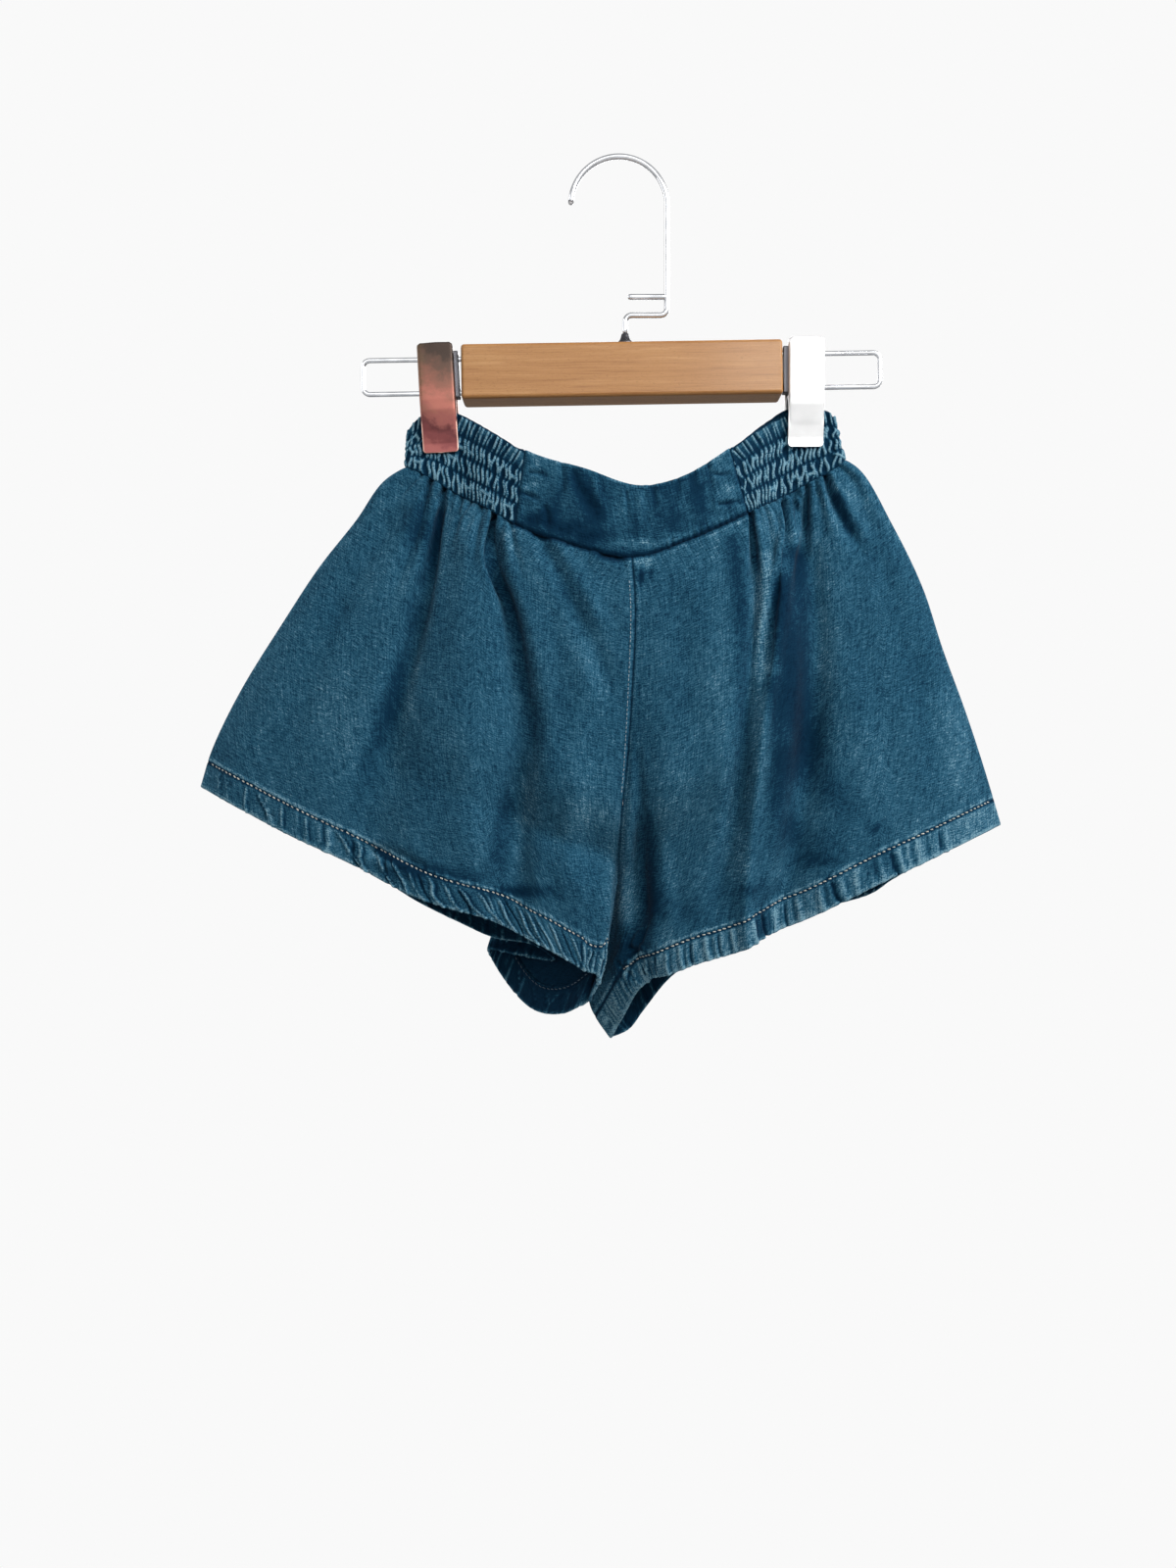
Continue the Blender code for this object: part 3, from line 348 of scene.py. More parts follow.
def panel_surface(panel, across, down):
    """Middle surface of a leg panel, at equal-sized arrays of shares across and down."""
    shape = across.shape
    across, down = across.ravel(), down.ravel()
    at_side = 1 - ease(across, 0, SIDE_ROUND)
    top = waist_edges(waist_stations(panel, across))[1]
    top[:, 2] -= GAP * (1 + at_side)
    hem = smooth_through(panel["hem"], across)
    first, last = panel["flute"]
    plain = smooth_through([row for row in panel["hem"] if not first < row[0] < last], across)
    outer = smooth_through(panel["edge"], down)
    inner = inner_edge(panel, down)

    ends = np.array([0.0, 1.0])
    outer_top, outer_foot = smooth_through(panel["edge"], ends)
    inner_top, inner_foot = inner_edge(panel, ends)
    s, t = across[:, None], down[:, None]
    top_line = outer_top + (inner_top - outer_top) * s
    hem_line = outer_foot + (inner_foot - outer_foot) * s
    outer_line = outer_top + (outer_foot - outer_top) * t
    inner_line = inner_top + (inner_foot - inner_top) * t
    points = top_line * (1 - t) + hem_line * t
    points += (outer - outer_line) * (1 - s) ** 2 + (inner - inner_line) * s**2
    points += (top - top_line) * (1 - t) ** SEAM_FADE + (plain - hem_line) * t**HEM_FADE
    points += (hem - plain) * ease(t, FLUTE_TOP, 1.0)

    fullness = np.interp(down, *zip(*FULLNESS))
    # The groove along the front centre seam is softer above the crotch.
    soft = 0.5 * across * (1 - ease(down, 0.45, 0.62)) if panel["face"] < 0 else 0.0
    round_off = np.sin(np.pi * across).clip(0) ** (0.6 + soft)
    stand_out = (fullness - fold_depth(panel["folds"], across, down)) * round_off
    points[:, 1] += panel["face"] * (stand_out + (GAP / 2 + LIP) * at_side)
    return points.reshape(*shape, 3)


def hem_start(panel, across):
    """Share down each column at which the turned-up hem begins."""
    step = 0.02
    foot = np.ones_like(across)
    fall = panel_surface(panel, across, foot) - panel_surface(panel, across, foot - step)
    after = panel_surface(panel, np.minimum(across + step, 1), foot)
    run = after - panel_surface(panel, np.maximum(across - step, 0), foot)
    sizes = np.linalg.norm(fall, axis=1) * np.linalg.norm(run, axis=1)
    slant = np.linalg.norm(np.cross(fall, run), axis=1) / sizes
    height = HEM_HEIGHT / np.maximum(slant, 0.6)
    return 1 - height / (np.linalg.norm(fall, axis=1) / step)


def inner_lip(panel, down):
    """Unit directions from the inner seam line into the panel, and how near the crotch each is.

    The panel leaves the centre seam sideways and the inseam to its own face. It stands further
    off the line at the crotch, where four panels meet.
    """
    crotch = panel["crotch"]
    turn = ease(down, crotch - CROTCH_TURN, crotch + CROTCH_TURN) * math.pi / 2
    sideways, depth = panel["side"] * np.cos(turn), panel["face"] * np.sin(turn)
    way = np.stack([sideways, depth, np.zeros_like(down)], axis=1)
    corner = np.exp(-(((down - crotch) / CROTCH_TURN) ** 2))
    return way, corner[:, None]


def unit(vectors):
    """The vectors at length 1."""
    return vectors / np.linalg.norm(vectors, axis=-1, keepdims=True)


def grid_normals(points):
    """Unit normals at a grid's points, each the mean of those of the faces round it."""
    faces = unit(np.cross(points[1:, 1:] - points[:-1, :-1], points[1:, :-1] - points[:-1, 1:]))
    round_edge = np.pad(faces, ((1, 1), (1, 1), (0, 0)), mode="edge")
    above = round_edge[:-1, :-1] + round_edge[:-1, 1:]
    below = round_edge[1:, :-1] + round_edge[1:, 1:]
    return unit(above + below)


def facing(points, away):
    """A grid's normals on the side that `away` points to, and -1 if they had to be turned."""
    normals = grid_normals(points)
    turn = 1 if np.mean((normals * away)[:, :, 1]) > 0 else -1
    return normals * turn, turn


# ------------------------------------------------------------ folds worked one by one

# The creases of each leg panel, seen from the front. Columns: half width at its start and end,
# height at its start and end (a trough is below 0), how much steeper its right side is than its
# left, and then x and z of each point that it runs through.
CREASES_FRONT_LEFT = (
    (1.7, 8.5, -3.6, -1, 0.35, -100.4, -190, -105, -222, -111.3, -263, -126, -316, -139, -362),
    (1.5, 6, -3.2, -0.6, -0.2, -109, -186.5, -118, -222, -136.3, -272),
    (1.5, 9, -5.2, -1, -0.35, -71.5, -205, -73.8, -233, -62.5, -263, -55, -300, -50, -340, -62,
     -375, -71, -400),
    (1.3, 3.2, -1.7, -0.4, 0, -78.5, -201, -81, -222, -84, -246),
    (1.3, 3.4, -1.5, -0.4, 0.2, -91, -197, -93, -214, -97, -236),
    (1.2, 3, -1.6, -0.5, 0, -62.5, -210, -60, -226, -53, -250),
    (8, 11, 0.9, 2, 0, -84, -340, -84.7, -387, -82, -414),
    (7, 9, -0.9, -1.6, 0.1, -160, -262, -178, -310, -196, -352),
    (7, 9, -0.9, -1.3, 0, -36, -262, -33, -310, -31, -352),
    (5, 7, 0.6, 1.4, 0, -22, -330, -26, -372, -33, -418),
    (4, 7, 0.5, 0.9, 0, -14, -250, -18, -290, -17, -330),
    (4, 8, -1, -0.8, 0, -126, -205, -150, -242, -168, -280),
    (3, 3.5, -1.6, -1.2, 0, -140, -398, -122, -402, -104, -411),
    (4, 6, -1.9, -1.7, 0, -46, -220, -32, -248, -14, -288, -1, -318),
    (4, 5, 1, 0.8, 0, -36, -224, -21, -250, -4, -285),
    (2.2, 2.4, -1.8, -1.8, 0, -9.5, -231.5, -3.5, -233, 3.5, -235.5),
)
CREASES_FRONT_RIGHT = (
    (1.3, 3.4, -3.6, -0.6, 0.2, 75, -207, 76.4, -228, 77, -254),
    (1.5, 4.6, -4.8, -2, -0.5, 94, -199.5, 95.2, -220, 88.5, -250.5, 82, -281, 80, -318),
    (1.5, 4.4, -3.8, -0.8, 0.3, 108.6, -190, 107.4, -220, 101, -250, 98, -268),
    (1.8, 5, -4.8, -1.2, 0.3, 119.5, -184, 128.2, -208.2, 143, -232),
    (1.2, 2.4, -1.6, -0.4, 0, 83, -203.5, 85, -216, 84.5, -232),
    (1.2, 2.6, -1.4, -0.4, 0, 101, -195, 101.5, -207, 99, -224),
    (1.2, 3.4, -1.4, -0.4, 0, 113.5, -187.5, 116.5, -204, 119, -226),
    (6, 11, -1.6, -3, -0.2, 103, -232, 104, -262, 107, -320, 104, -372),
    (7, 9, 0.8, 1.4, 0, 133, -300, 139, -342, 140, -380),
    (7, 9, -0.8, -1.5, 0, 168, -290, 177, -330, 182, -366),
    (2.4, 4.2, -0.8, -3.6, 0.2, 10, -345, 12, -380, 12.6, -415, 15, -455),
    (3.4, 4, 0.6, 3.8, 0, 4, -385, 4, -405, 3.5, -430, 2.5, -452),
    (4, 4.5, 0.5, 1.5, 0, 24, -395, 26, -425, 31, -448),
    (1.1, 1.5, -1.6, -1.8, 0, 2, -447, 7.5, -456, 14, -464),
    (1.1, 1.4, -1.5, -1.7, 0, 13, -446, 9.5, -458, 5, -472),
    (1, 1.4, -1.4, -1.2, 0, -1, -464, 4, -469, 10, -474),
    (1.2, 1.5, 1.2, 1.3, 0, 3, -452, 9, -452.5, 17, -457),
    (1.1, 1.3, 1.2, 1, 0, 4.5, -463, 8, -466, 15, -468),
    (7, 9, -0.8, -1.2, 0, 33, -262, 37, -300, 36, -340),
    (8, 9, 0.8, 1.5, 0, 56, -330, 58, -372, 54, -410),
    (5, 8, 0.8, 0.6, 0, 150, -222, 163, -250, 176, -290),
)
CREASES_BACK_LEFT = (
    (1.7, 7.5, -4, -1.4, -0.2, -104, -190, -112, -236, -124, -292),
    (1.6, 7, -4.6, -1.6, 0.3, -84, -201, -86, -240, -94, -300, -101, -352),
    (1.5, 6, -4, -1.2, 0, -50, -216, -49, -256, -44, -312),
    (1.4, 5, -3, -0.8, -0.2, -22, -226, -20, -262, -17, -306),
    (6, 9, -1, -1.6, 0, -150, -250, -170, -300, -190, -350),
    (7, 9, 0.9, 1.5, 0, -70, -330, -76, -368, -84, -404),
    (6, 8, 0.9, 1.4, 0, -122, -330, -134, -366, -147, -396),
)
CREASES_BACK_RIGHT = (
    (1.7, 6.5, -4.2, -1.2, 0.2, 112, -188, 121, -226, 139, -276),
    (1.6, 7, -4.4, -1.6, -0.3, 88, -200, 92, -244, 101, -304, 106, -356),
    (1.5, 6, -4.2, -1, 0, 58, -213, 59, -258, 55, -318),
    (1.4, 5, -2.8, -0.8, 0.2, 30, -224, 29, -258, 26, -300),
    (6, 9, -1, -1.5, 0, 154, -262, 168, -312, 176, -356),
    (7, 9, 0.9, 1.5, 0, 74, -340, 78, -380, 80, -420),
)

# The ridges across the left front hem. Columns: x at the stitches, x at the fold, half width,
# height, and how far it bends sideways on its way.
HEM_RIDGES_FRONT_LEFT = (
    (-230.5, -228.5, 0.9, 0.9, 0.4), (-224, -223.5, 0.8, 0.5, 0),
    (-212.5, -211.5, 0.9, 1.2, 0.6), (-205, -196, 1.1, 1.3, -0.8),
    (-199, -198.5, 0.8, 0.8, -0.5), (-190.5, -189, 0.8, 1.3, 0.3), (-182, -180.5, 0.8, 0.7, 0.4),
    (-176, -175.5, 0.8, 1.2, 0), (-169, -167, 1.6, 0.5, 0), (-164, -143, 1, 1.7, 2.2),
    (-162, -165.5, 1.7, 1, -1), (-153.5, -147, 1.1, -1.3, 1.8), (-149.5, -142.5, 0.9, 1.4, 1.9),
    (-141, -126, 1, 1.5, 1.2), (-134, -129, 1, -1, 0.8), (-127.5, -118, 1, 1.5, -1),
    (-121.5, -108.5, 0.9, 1, 1.4), (-115, -104.5, 1, -1.3, 0.8), (-109.5, -98, 1.1, 1.7, 2.4),
    (-101, -88.5, 0.9, 1.2, 1), (-95, -75.5, 1.1, 1.7, 2), (-90.5, -83, 0.9, -1.2, -0.9),
    (-83.5, -66, 1, 1.4, 1.4), (-77, -66.5, 0.9, 0.9, 0.8), (-72, -58.5, 1, 1.5, 1.4),
    (-66, -54, 0.9, -1.1, -0.8), (-61, -46, 1, 1.5, 1.6), (-54.5, -41, 0.9, 1.1, 1),
    (-48, -37, 0.8, 0.9, -0.6), (-41.5, -30, 0.9, 1.2, 0.8), (-35, -24.5, 0.8, -0.9, 0.5),
    (-29.5, -19.5, 0.9, 1, 0.5), (-22.5, -13.5, 0.9, 0.9, 0),
)
# Those across the right front hem.
HEM_RIDGES_FRONT_RIGHT = (
    (182.9, 185, 1.3, 0.9, 0), (180, 182.5, 1.1, -1, 0.3), (173.4, 174.8, 1.1, -0.9, 0.3),
    (167, 168.5, 1.8, 0.9, 0), (160.5, 163, 1, 0.7, 0.4), (154.6, 159.5, 1.5, 1, 0.4),
    (150.3, 156, 1.2, -1.7, 0.6), (144.5, 147.5, 1.8, 0.8, 0), (137, 139.5, 0.9, -0.8, 0.3),
    (131, 133, 1.6, 0.9, 0.4), (121.5, 127, 1.4, 0.9, 0.5), (116.3, 123.4, 1.2, -1.8, 0.8),
    (110.5, 114, 1.8, 1, 0.3), (99.5, 101.5, 1.5, 0.7, 0), (92.5, 94, 1, -0.8, 0.3),
    (86, 87.5, 1.8, 0.8, 0), (78.3, 82.3, 1.2, -1.6, 0.5), (72.5, 75.5, 1.6, 0.9, 0.4),
    (62, 64, 1.3, 0.7, 0), (54, 56, 0.9, -0.8, 0.2), (47, 49.5, 1.5, 0.8, 0.3),
    (38.5, 40.5, 1.1, -0.9, 0.3), (33, 35, 1.3, 0.8, 0.3), (25.5, 27.5, 1.1, 0.9, 0.5),
    (19.5, 21.5, 1, -1.2, 0.6), (14.5, 16.5, 1.2, 1.1, 0.5),
)
# The other ridges come at uneven steps. Columns: least and most distance between two, least and
# most slant towards the fold, half width, height.
FRONT_HEM_STEPS = (3.0, 5.5, -1.0, 2.0, 0.9, 1.1)

# Pale worn places and dark places of painted shade, seen from the front. Columns: middle x and z,
# half width, half height, strength (pale above 0, dark below).
YOKE_SPOTS = (
    (-47, -178.5, 6.5, 8, 0.9), (-49.6, -192, 6.5, 4.2, 0.9), (-51.5, -206, 5, 5, 0.5),
    (-36, -181.5, 4.5, 5, 0.45), (-41, -212.5, 4.5, 4.5, -1), (-38.5, -204, 5, 8, -0.6),
    (-24, -191, 4, 7, -0.7), (-18, -200, 4.5, 7, -0.8), (-12.5, -209, 5, 7, -0.8),
    (-22, -216, 8, 5, -0.4), (-4, -190, 4, 7, 0.35), (4, -207, 7.5, 11, 0.45),
    (19, -191.5, 4.5, 7, -0.6), (30, -203, 9, 9, 0.1), (44, -194, 4.5, 8, -0.4),
    (57.4, -179, 6, 7, 0.85), (61.5, -195, 6.5, 4.2, 0.9), (68, -205, 5, 3.5, 0.8),
    (13, -226, 15, 2.8, 1), (36, -221.5, 14, 2.6, 0.7), (60, -211.5, 12, 2.4, 0.6),
    (-45, -211, 9, 3.5, -1), (-30, -217, 9, 3.5, -1), (-16, -222, 9, 3.5, -0.9),
)
SPOTS_FRONT_LEFT = (
    (-7.5, -231, 4.5, 3.2, -3), (-0.5, -232.6, 4.5, 3.2, -3), (-52, -217.5, 9, 2, 0.5),
    (-62, -222, 5, 8, 0.25), (-84, -212, 6, 12, 0.25), (-115, -213, 11, 14, -0.8),
    (-113.3, -409.3, 18, 4, -1.2), (-56, -422, 20, 3.5, -1.2), (-88, -413, 14, 4.5, -0.7),
)
SPOTS_FRONT_RIGHT = (
    (14, -236, 4.5, 3.5, 1.1), (12, -245, 1.5, 4, -1.6), (17.6, -243, 1.2, 2.6, -1.1),
    (84, -212, 5, 12, 0.4), (150, -232, 16, 22, -0.3), (147, -405, 9, 8, -0.9),
    (79, -441, 4, 9, -1.1), (119, -420, 11, 7, -0.3), (144, -386, 5, 2.6, -1),
    (110, -404, 12, 3.2, -0.8), (70, -420, 12, 4, -0.6),
)
SPOTS_BACK_LEFT = (
    (-62, -458.5, 17, 3.4, -2.6), (-42, -460, 12, 6, -1.8),
)
# Long paler and darker bands of the front legs: painted light on the folds and painted shade
# between them.
# Columns as for the creases, with strengths in place of heights.
PAINTED_SHADING_FRONT_LEFT = (
    (3.6, 4.6, 0.2, 0.1, 0, -66, -218, -47, -248, -29, -279, -8, -308, 4, -322),
    (3, 5, -0.7, -0.4, 0, -103, -205, -114, -246, -130.5, -268),
    (5, 7, -0.5, -0.4, 0, -116, -262, -128, -312, -141.5, -350, -144, -380),
    (4, 6, 0.3, 0.5, 0, -116, -276, -119, -305, -121, -335),
    (6, 8, 0.5, 0.3, 0, -48, -345, -54, -375, -60, -395),
    (5, 6, -0.4, -0.6, 0, -61, -372, -67.4, -394, -67.4, -416),
    (1.6, 1.8, -2.2, -2.4, 0, -137, -398.5, -127, -403.5, -117, -408.5),
    (13, 15, 0.1, 0.6, 0, -26, -348, -22, -368, -15, -392),
    (8, 9, 0.15, 0.15, 0, -44, -366, -43, -385, -32, -404),
    (4, 4, 0.2, 0.3, 0, -3, -378, -4.5, -420, -6, -455),
    (36, 42, 0.15, 0.3, 0, -150, -270, -168, -310, -186, -345),
)
PAINTED_SHADING_FRONT_RIGHT = (
    (2.8, 3.2, 0.5, 0.15, 0, 83, -232, 82, -262, 80.5, -290, 80, -312),
    (5, 6, 0.2, 0.35, 0, 69, -392, 67, -425),
    (5.5, 7.5, -0.7, -0.65, 0, 64, -226, 69.5, -280, 70.5, -334, 71, -384),
    (6, 14, -0.7, -0.5, 0, 98, -232, 94, -262, 98, -306, 110, -342, 128, -376),
    (6.5, 12, -0.7, -1, 0, 91, -250, 92, -290, 96, -320, 99, -350, 105, -376),
    (5, 7.5, -0.9, -1, 0, 84, -306, 85.5, -335, 86, -392),
    (6, 7, -0.8, -0.7, 0, 105, -230, 107, -262, 106, -290, 110, -318),
    (7, 8, -0.5, -0.7, 0, 94, -348, 96, -370, 97, -400),
    (9, 9, -0.4, -0.4, 0, 120, -366, 127, -374, 134, -380),
    (9, 9, -0.4, -0.3, 0, 24, -428, 36, -434, 50, -430),
    (12, 12, -0.3, -0.4, 0, 84, -392, 108, -394, 130, -388),
    (3, 4, -0.9, -0.5, 0, 126, -196, 131, -207, 137, -220),
    (14, 15, 0, 0.35, 0, 26, -300, 27, -345, 36, -390),
    (4.5, 6, 0.3, 0.4, 0, 2, -356, 3, -388, 2.5, -420, 1, -448),
    (9, 8, -0.8, -0.8, 0, 6, -452, 2, -466, 0, -480),
    (0.9, 1.1, 2.2, 1.8, 0, 13, -457, 7, -463, 3.5, -470, 2.5, -478),
    (3, 6.5, -0.5, -1, 0, 16, -378, 18.5, -400, 18.5, -430, 15, -455),
    (12, 12, 0.3, 0.3, 0, 186, -318, 192, -350, 198, -372),
)
# Creases of the yoke, in the same columns as the legs'.
YOKE_CREASES = (
    (1.2, 1.4, -1.1, -0.5, 0, -50.6, -184.6, -45, -185.6, -39, -188),
    (1.3, 1.6, -1.5, -0.6, 0, -57, -195.6, -51, -197.6, -44, -201.2),
    (1.6, 2.4, -0.8, -0.5, 0, -33, -180, -31.5, -190, -34, -202),
    (2.4, 3.4, -0.9, -1, 0, -26, -186, -21, -198, -12, -212),
    (1.6, 2, -0.9, -1.2, 0, -42, -205, -40.5, -211, -41.5, -216.5),
    (1.8, 2.2, 0.7, 0.3, 0, -14, -190.5, -12.5, -198, -9, -206),
    (1.2, 1.6, -0.7, -0.3, 0, 3.6, -197, 4.5, -205, 4.2, -214),
    (1.8, 2.4, 0.6, 0.3, 0, 11, -198, 12, -207, 10, -218),
    (1.6, 2.2, -0.9, -0.4, 0, 17, -192, 19.5, -199, 19, -208),
    (1.6, 2, -0.7, -0.3, 0, 32, -184.5, 33, -192, 32, -200),
    (1.4, 1.8, 0.8, 0.3, 0, 42.5, -179, 44.5, -187, 45, -196),
    (1.3, 1.7, -1.2, -0.5, 0, 48.6, -177.5, 51, -186, 52, -196),
    (1.2, 1.3, -1.1, -0.6, 0, 53.5, -186, 59, -186.2, 64.5, -184.8),
    (1.3, 1.4, -1.4, -0.7, 0, 56.5, -203, 63, -202.2, 69.5, -200),
)

# The panels. `side` is -1 for the left leg and 1 for the right, `face` is -1 for the front and 1
# for the back, `stations` are the waist's at the side and centre edges, `crotch` is its share down,
# `steps` are for the ridges that aren't in a table, `hem_wear` says how pale the hem is and
# `inner_painted_shade` how much darker the inside is painted, as painted shade, `stitched_to` is
# the column that the hem's stitches end before, and `flat` and `area` are the cut, in metres and
# square metres.
PANELS = {
    "front_leg_left": {
        "side": -1, "face": -1, "stations": (2, 0), "edge": SIDE_LEFT, "centre": CENTRE_FRONT,
        "inseam": INSEAM_LEFT, "crotch": 0.720, "hem": HEM_FRONT_LEFT, "flute": NO_FLUTE,
        "folds": FOLDS_FRONT_LEFT, "creases": CREASES_FRONT_LEFT, "spots": SPOTS_FRONT_LEFT,
        "painted_shading": PAINTED_SHADING_FRONT_LEFT, "ridges": HEM_RIDGES_FRONT_LEFT, "steps": FRONT_HEM_STEPS,
        "hem_wear": 0.1, "inner_painted_shade": -0.5, "columns": FRONT_COLUMNS,
        "stitched_to": -4, "flat": (0.30, 0.27), "area": 0.062,
    },
    "front_leg_right": {
        "side": 1, "face": -1, "stations": (4, 6), "edge": SIDE_RIGHT, "centre": CENTRE_FRONT,
        "inseam": INSEAM_RIGHT, "crotch": 0.655, "hem": HEM_FRONT_RIGHT, "flute": NO_FLUTE,
        "folds": FOLDS_FRONT_RIGHT, "creases": CREASES_FRONT_RIGHT, "spots": SPOTS_FRONT_RIGHT,
        "painted_shading": PAINTED_SHADING_FRONT_RIGHT, "ridges": HEM_RIDGES_FRONT_RIGHT, "steps": FRONT_HEM_STEPS,
        "hem_wear": 0.6, "inner_painted_shade": -0.5, "columns": FRONT_COLUMNS,
        "stitched_to": -24, "flat": (0.30, 0.27), "area": 0.062,
    },
    "back_leg_left": {
        "side": -1, "face": 1, "stations": (2, 3), "edge": SIDE_LEFT, "centre": CENTRE_BACK,
        "inseam": INSEAM_LEFT, "crotch": 0.720, "hem": HEM_BACK_LEFT, "flute": BACK_FLUTE,
        "folds": FOLDS_BACK_LEFT, "creases": CREASES_BACK_LEFT, "spots": SPOTS_BACK_LEFT,
        "painted_shading": (), "ridges": (), "steps": (4.0, 9.5, -4.0, 7.0, 1.1, 1.15),
        "hem_wear": 0.0, "inner_painted_shade": -1.1, "columns": FLUTED_COLUMNS,
        "stitched_to": -4, "flat": (0.34, 0.29), "area": 0.075,
    },
    "back_leg_right": {
        "side": 1, "face": 1, "stations": (4, 3), "edge": SIDE_RIGHT, "centre": CENTRE_BACK,
        "inseam": INSEAM_RIGHT, "crotch": 0.655, "hem": HEM_BACK_RIGHT, "flute": NO_FLUTE,
        "folds": FOLDS_BACK_RIGHT, "creases": CREASES_BACK_RIGHT, "spots": (),
        "painted_shading": (), "ridges": (), "steps": (5.0, 11.0, -3.0, 3.0, 1.3, 0.9),
        "hem_wear": 0.0, "inner_painted_shade": -1.1, "columns": PLAIN_COLUMNS,
        "stitched_to": -4, "flat": (0.32, 0.29), "area": 0.070,
    },
}

# ------------------------------------------------------------ heights and distances


def rough(u, v, cell, seed):
    """Smooth random heights from -1 to 1, with bumps about `cell` (across, down) in size."""
    total = np.zeros(np.broadcast(u, v).shape)
    for octave in (0, 1):
        lattice = np.random.default_rng(seed + octave).uniform(-1, 1, (64, 64))
        x = (u / cell[0] + 31.7) * 2**octave
        y = (v / cell[1] + 17.3) * 2**octave
        i, j = np.floor(x).astype(int), np.floor(y).astype(int)
        x, y = ease(x - i, 0, 1), ease(y - j, 0, 1)
        i, j, i2, j2 = i % 64, j % 64, (i + 1) % 64, (j + 1) % 64
        low = lattice[i, j] * (1 - x) + lattice[i2, j] * x
        high = lattice[i, j2] * (1 - x) + lattice[i2, j2] * x
        total += (low * (1 - y) + high * y) * 0.5**octave
    return total / 1.5


def nearest_on(path, x, z):
    """How far along and how far off the smooth path through (x, z) points each place lies.

    The first is a share of its length, and the second is above 0 on its right.
    """
    keys = np.arange(len(path))
    rows = [(key, px, 0.0, pz) for key, (px, pz) in zip(keys, path)]
    smooth = smooth_through(rows, np.linspace(0, keys[-1], 6 * keys[-1] + 1))[:, [0, 2]]
    steps = np.diff(smooth, axis=0)
    lengths = np.hypot(steps[:, 0], steps[:, 1])
    run = np.concatenate([[0.0], np.cumsum(lengths)])
    best = np.full(x.shape, 1e9)
    share, side = np.zeros(x.shape), np.ones(x.shape)
    for start, step, length, before in zip(smooth, steps, lengths, run):
        dx, dz = x - start[0], z - start[1]
        part = np.clip((dx * step[0] + dz * step[1]) / length**2, 0, 1)
        away = np.hypot(dx - part * step[0], dz - part * step[1])
        nearer = away < best
        best = np.where(nearer, away, best)
        share = np.where(nearer, (before + part * length) / run[-1], share)
        side = np.where(nearer, np.sign(dz * step[0] - dx * step[1]), side)
    return share, best * side


def bump(away, width):
    """A smooth hump, 1 where `away` is 0, dying away over the width."""
    return np.exp(-((away / width) ** 2))


def crease_height(table, x, z):
    """Sum of the creases' heights. A trough has soft raised shoulders, and a ridge hollow ones."""
    height = np.zeros(x.shape)
    for wide_from, wide_to, tall_from, tall_to, lean, *path in table:
        share, away = nearest_on(list(zip(path[::2], path[1::2])), x, z)
        width = wide_from + (wide_to - wide_from) * share
        width = width * np.where(away > 0, 1 - 0.5 * lean, 1 + 0.5 * lean)
        tall = tall_from + (tall_to - tall_from) * share
        tall = tall * (1 - 0.85 * ease(share, 0.72, 1.0))
        shoulders = bump(np.abs(away) - 1.9 * width, 1.0 * width)
        height += tall * (bump(away, width) - 0.28 * shoulders)
    return height


def worn_and_shaded_spots(table, x, z):
    """Sum of the spots' strengths at each point."""
    paleness = np.zeros(x.shape)
    for middle_x, middle_z, wide, tall, strength in table:
        paleness += strength * np.exp(-(((x - middle_x) / wide) ** 2) - ((z - middle_z) / tall) ** 2)
    return paleness


# ------------------------------------------------------------ leg panels, in cloth


def leg_middle(panel):
    """Middle of a leg panel's outer layer down to the hem's fold, with a lip along each seam.

    Rows run from the waist to the hem's fold, and row STITCH_ROW lies on the hem's stitches.
    """
    across = columns_of(panel["columns"])
    starts = hem_start(panel, across)
    body = columns_of(BODY_RUNS)[:, None] * starts
    hem = starts + np.linspace(0, 1, HEM_ROWS + 1)[1:, None] * (1 - starts)
    down = np.concatenate([body, hem])
    points = panel_surface(panel, np.broadcast_to(across, down.shape), down)
    outer = smooth_through(panel["edge"], down[:, 0])
    outer_way = np.array([0, panel["face"], 0])
    inner = inner_edge(panel, down[:, -1])
    inner_way, corner = inner_lip(panel, down[:, -1])
    columns = [outer + outer_way * (SEAM_START + LIP * k) for k in (0.0, 0.5)]
    columns += list(np.moveaxis(points, 1, 0))
    start = SEAM_START + CROTCH_CLEARANCE * corner
    columns += [inner + inner_way * (start + LIP * k) for k in (0.9, 0.45, 0.0)]
    return np.stack(columns, axis=1)


def lengths_along(points, axis):
    """Distance along a grid's rows (axis 1) or columns (axis 0), from the first point."""
    steps = np.linalg.norm(np.diff(points, axis=axis), axis=2)
    start = np.zeros_like(points[:, :1, 0] if axis else points[:1, :, 0])
    return np.concatenate([start, np.cumsum(steps, axis=axis)], axis=axis)


class LegGrid:
    """The points of a leg panel's cloth, and the distances from its edges that it is worked by."""

    def __init__(self, panel):
        self.points = leg_middle(panel)
        self.x, self.z = self.points[:, :, 0], self.points[:, :, 2]
        self.from_side = lengths_along(self.points, 1)
        self.from_centre = self.from_side[:, -1:] - self.from_side
        middle = self.points.shape[1] // 2
        self.across = self.from_side - self.from_side[:, middle:middle + 1]
        self.down = lengths_along(self.points, 0)
        self.above = self.down[STITCH_ROW] - self.down  # the hem's stitches
        hem = np.maximum(self.down[-1] - self.down[STITCH_ROW], 1e-6)
        self.hem_share = np.maximum(-self.above / hem, 0)  # 0 at the stitches, 1 at the fold
        self.on_inseam = ease(-self.z[:, -1:], 394, 404)  # 0 on the centre seam, 1 on the inseam
        self.top = self.from_side[0]
        self.elastic = np.ones(len(self.top))  # 1 below the elastic, 0 below the yoke
        if panel["face"] < 0:
            yoke_from = np.interp(YOKE_SHARE, np.linspace(0, 1, len(self.top)), self.top)
            self.elastic = 1 - ease(self.top, yoke_from - 3, yoke_from + 3)


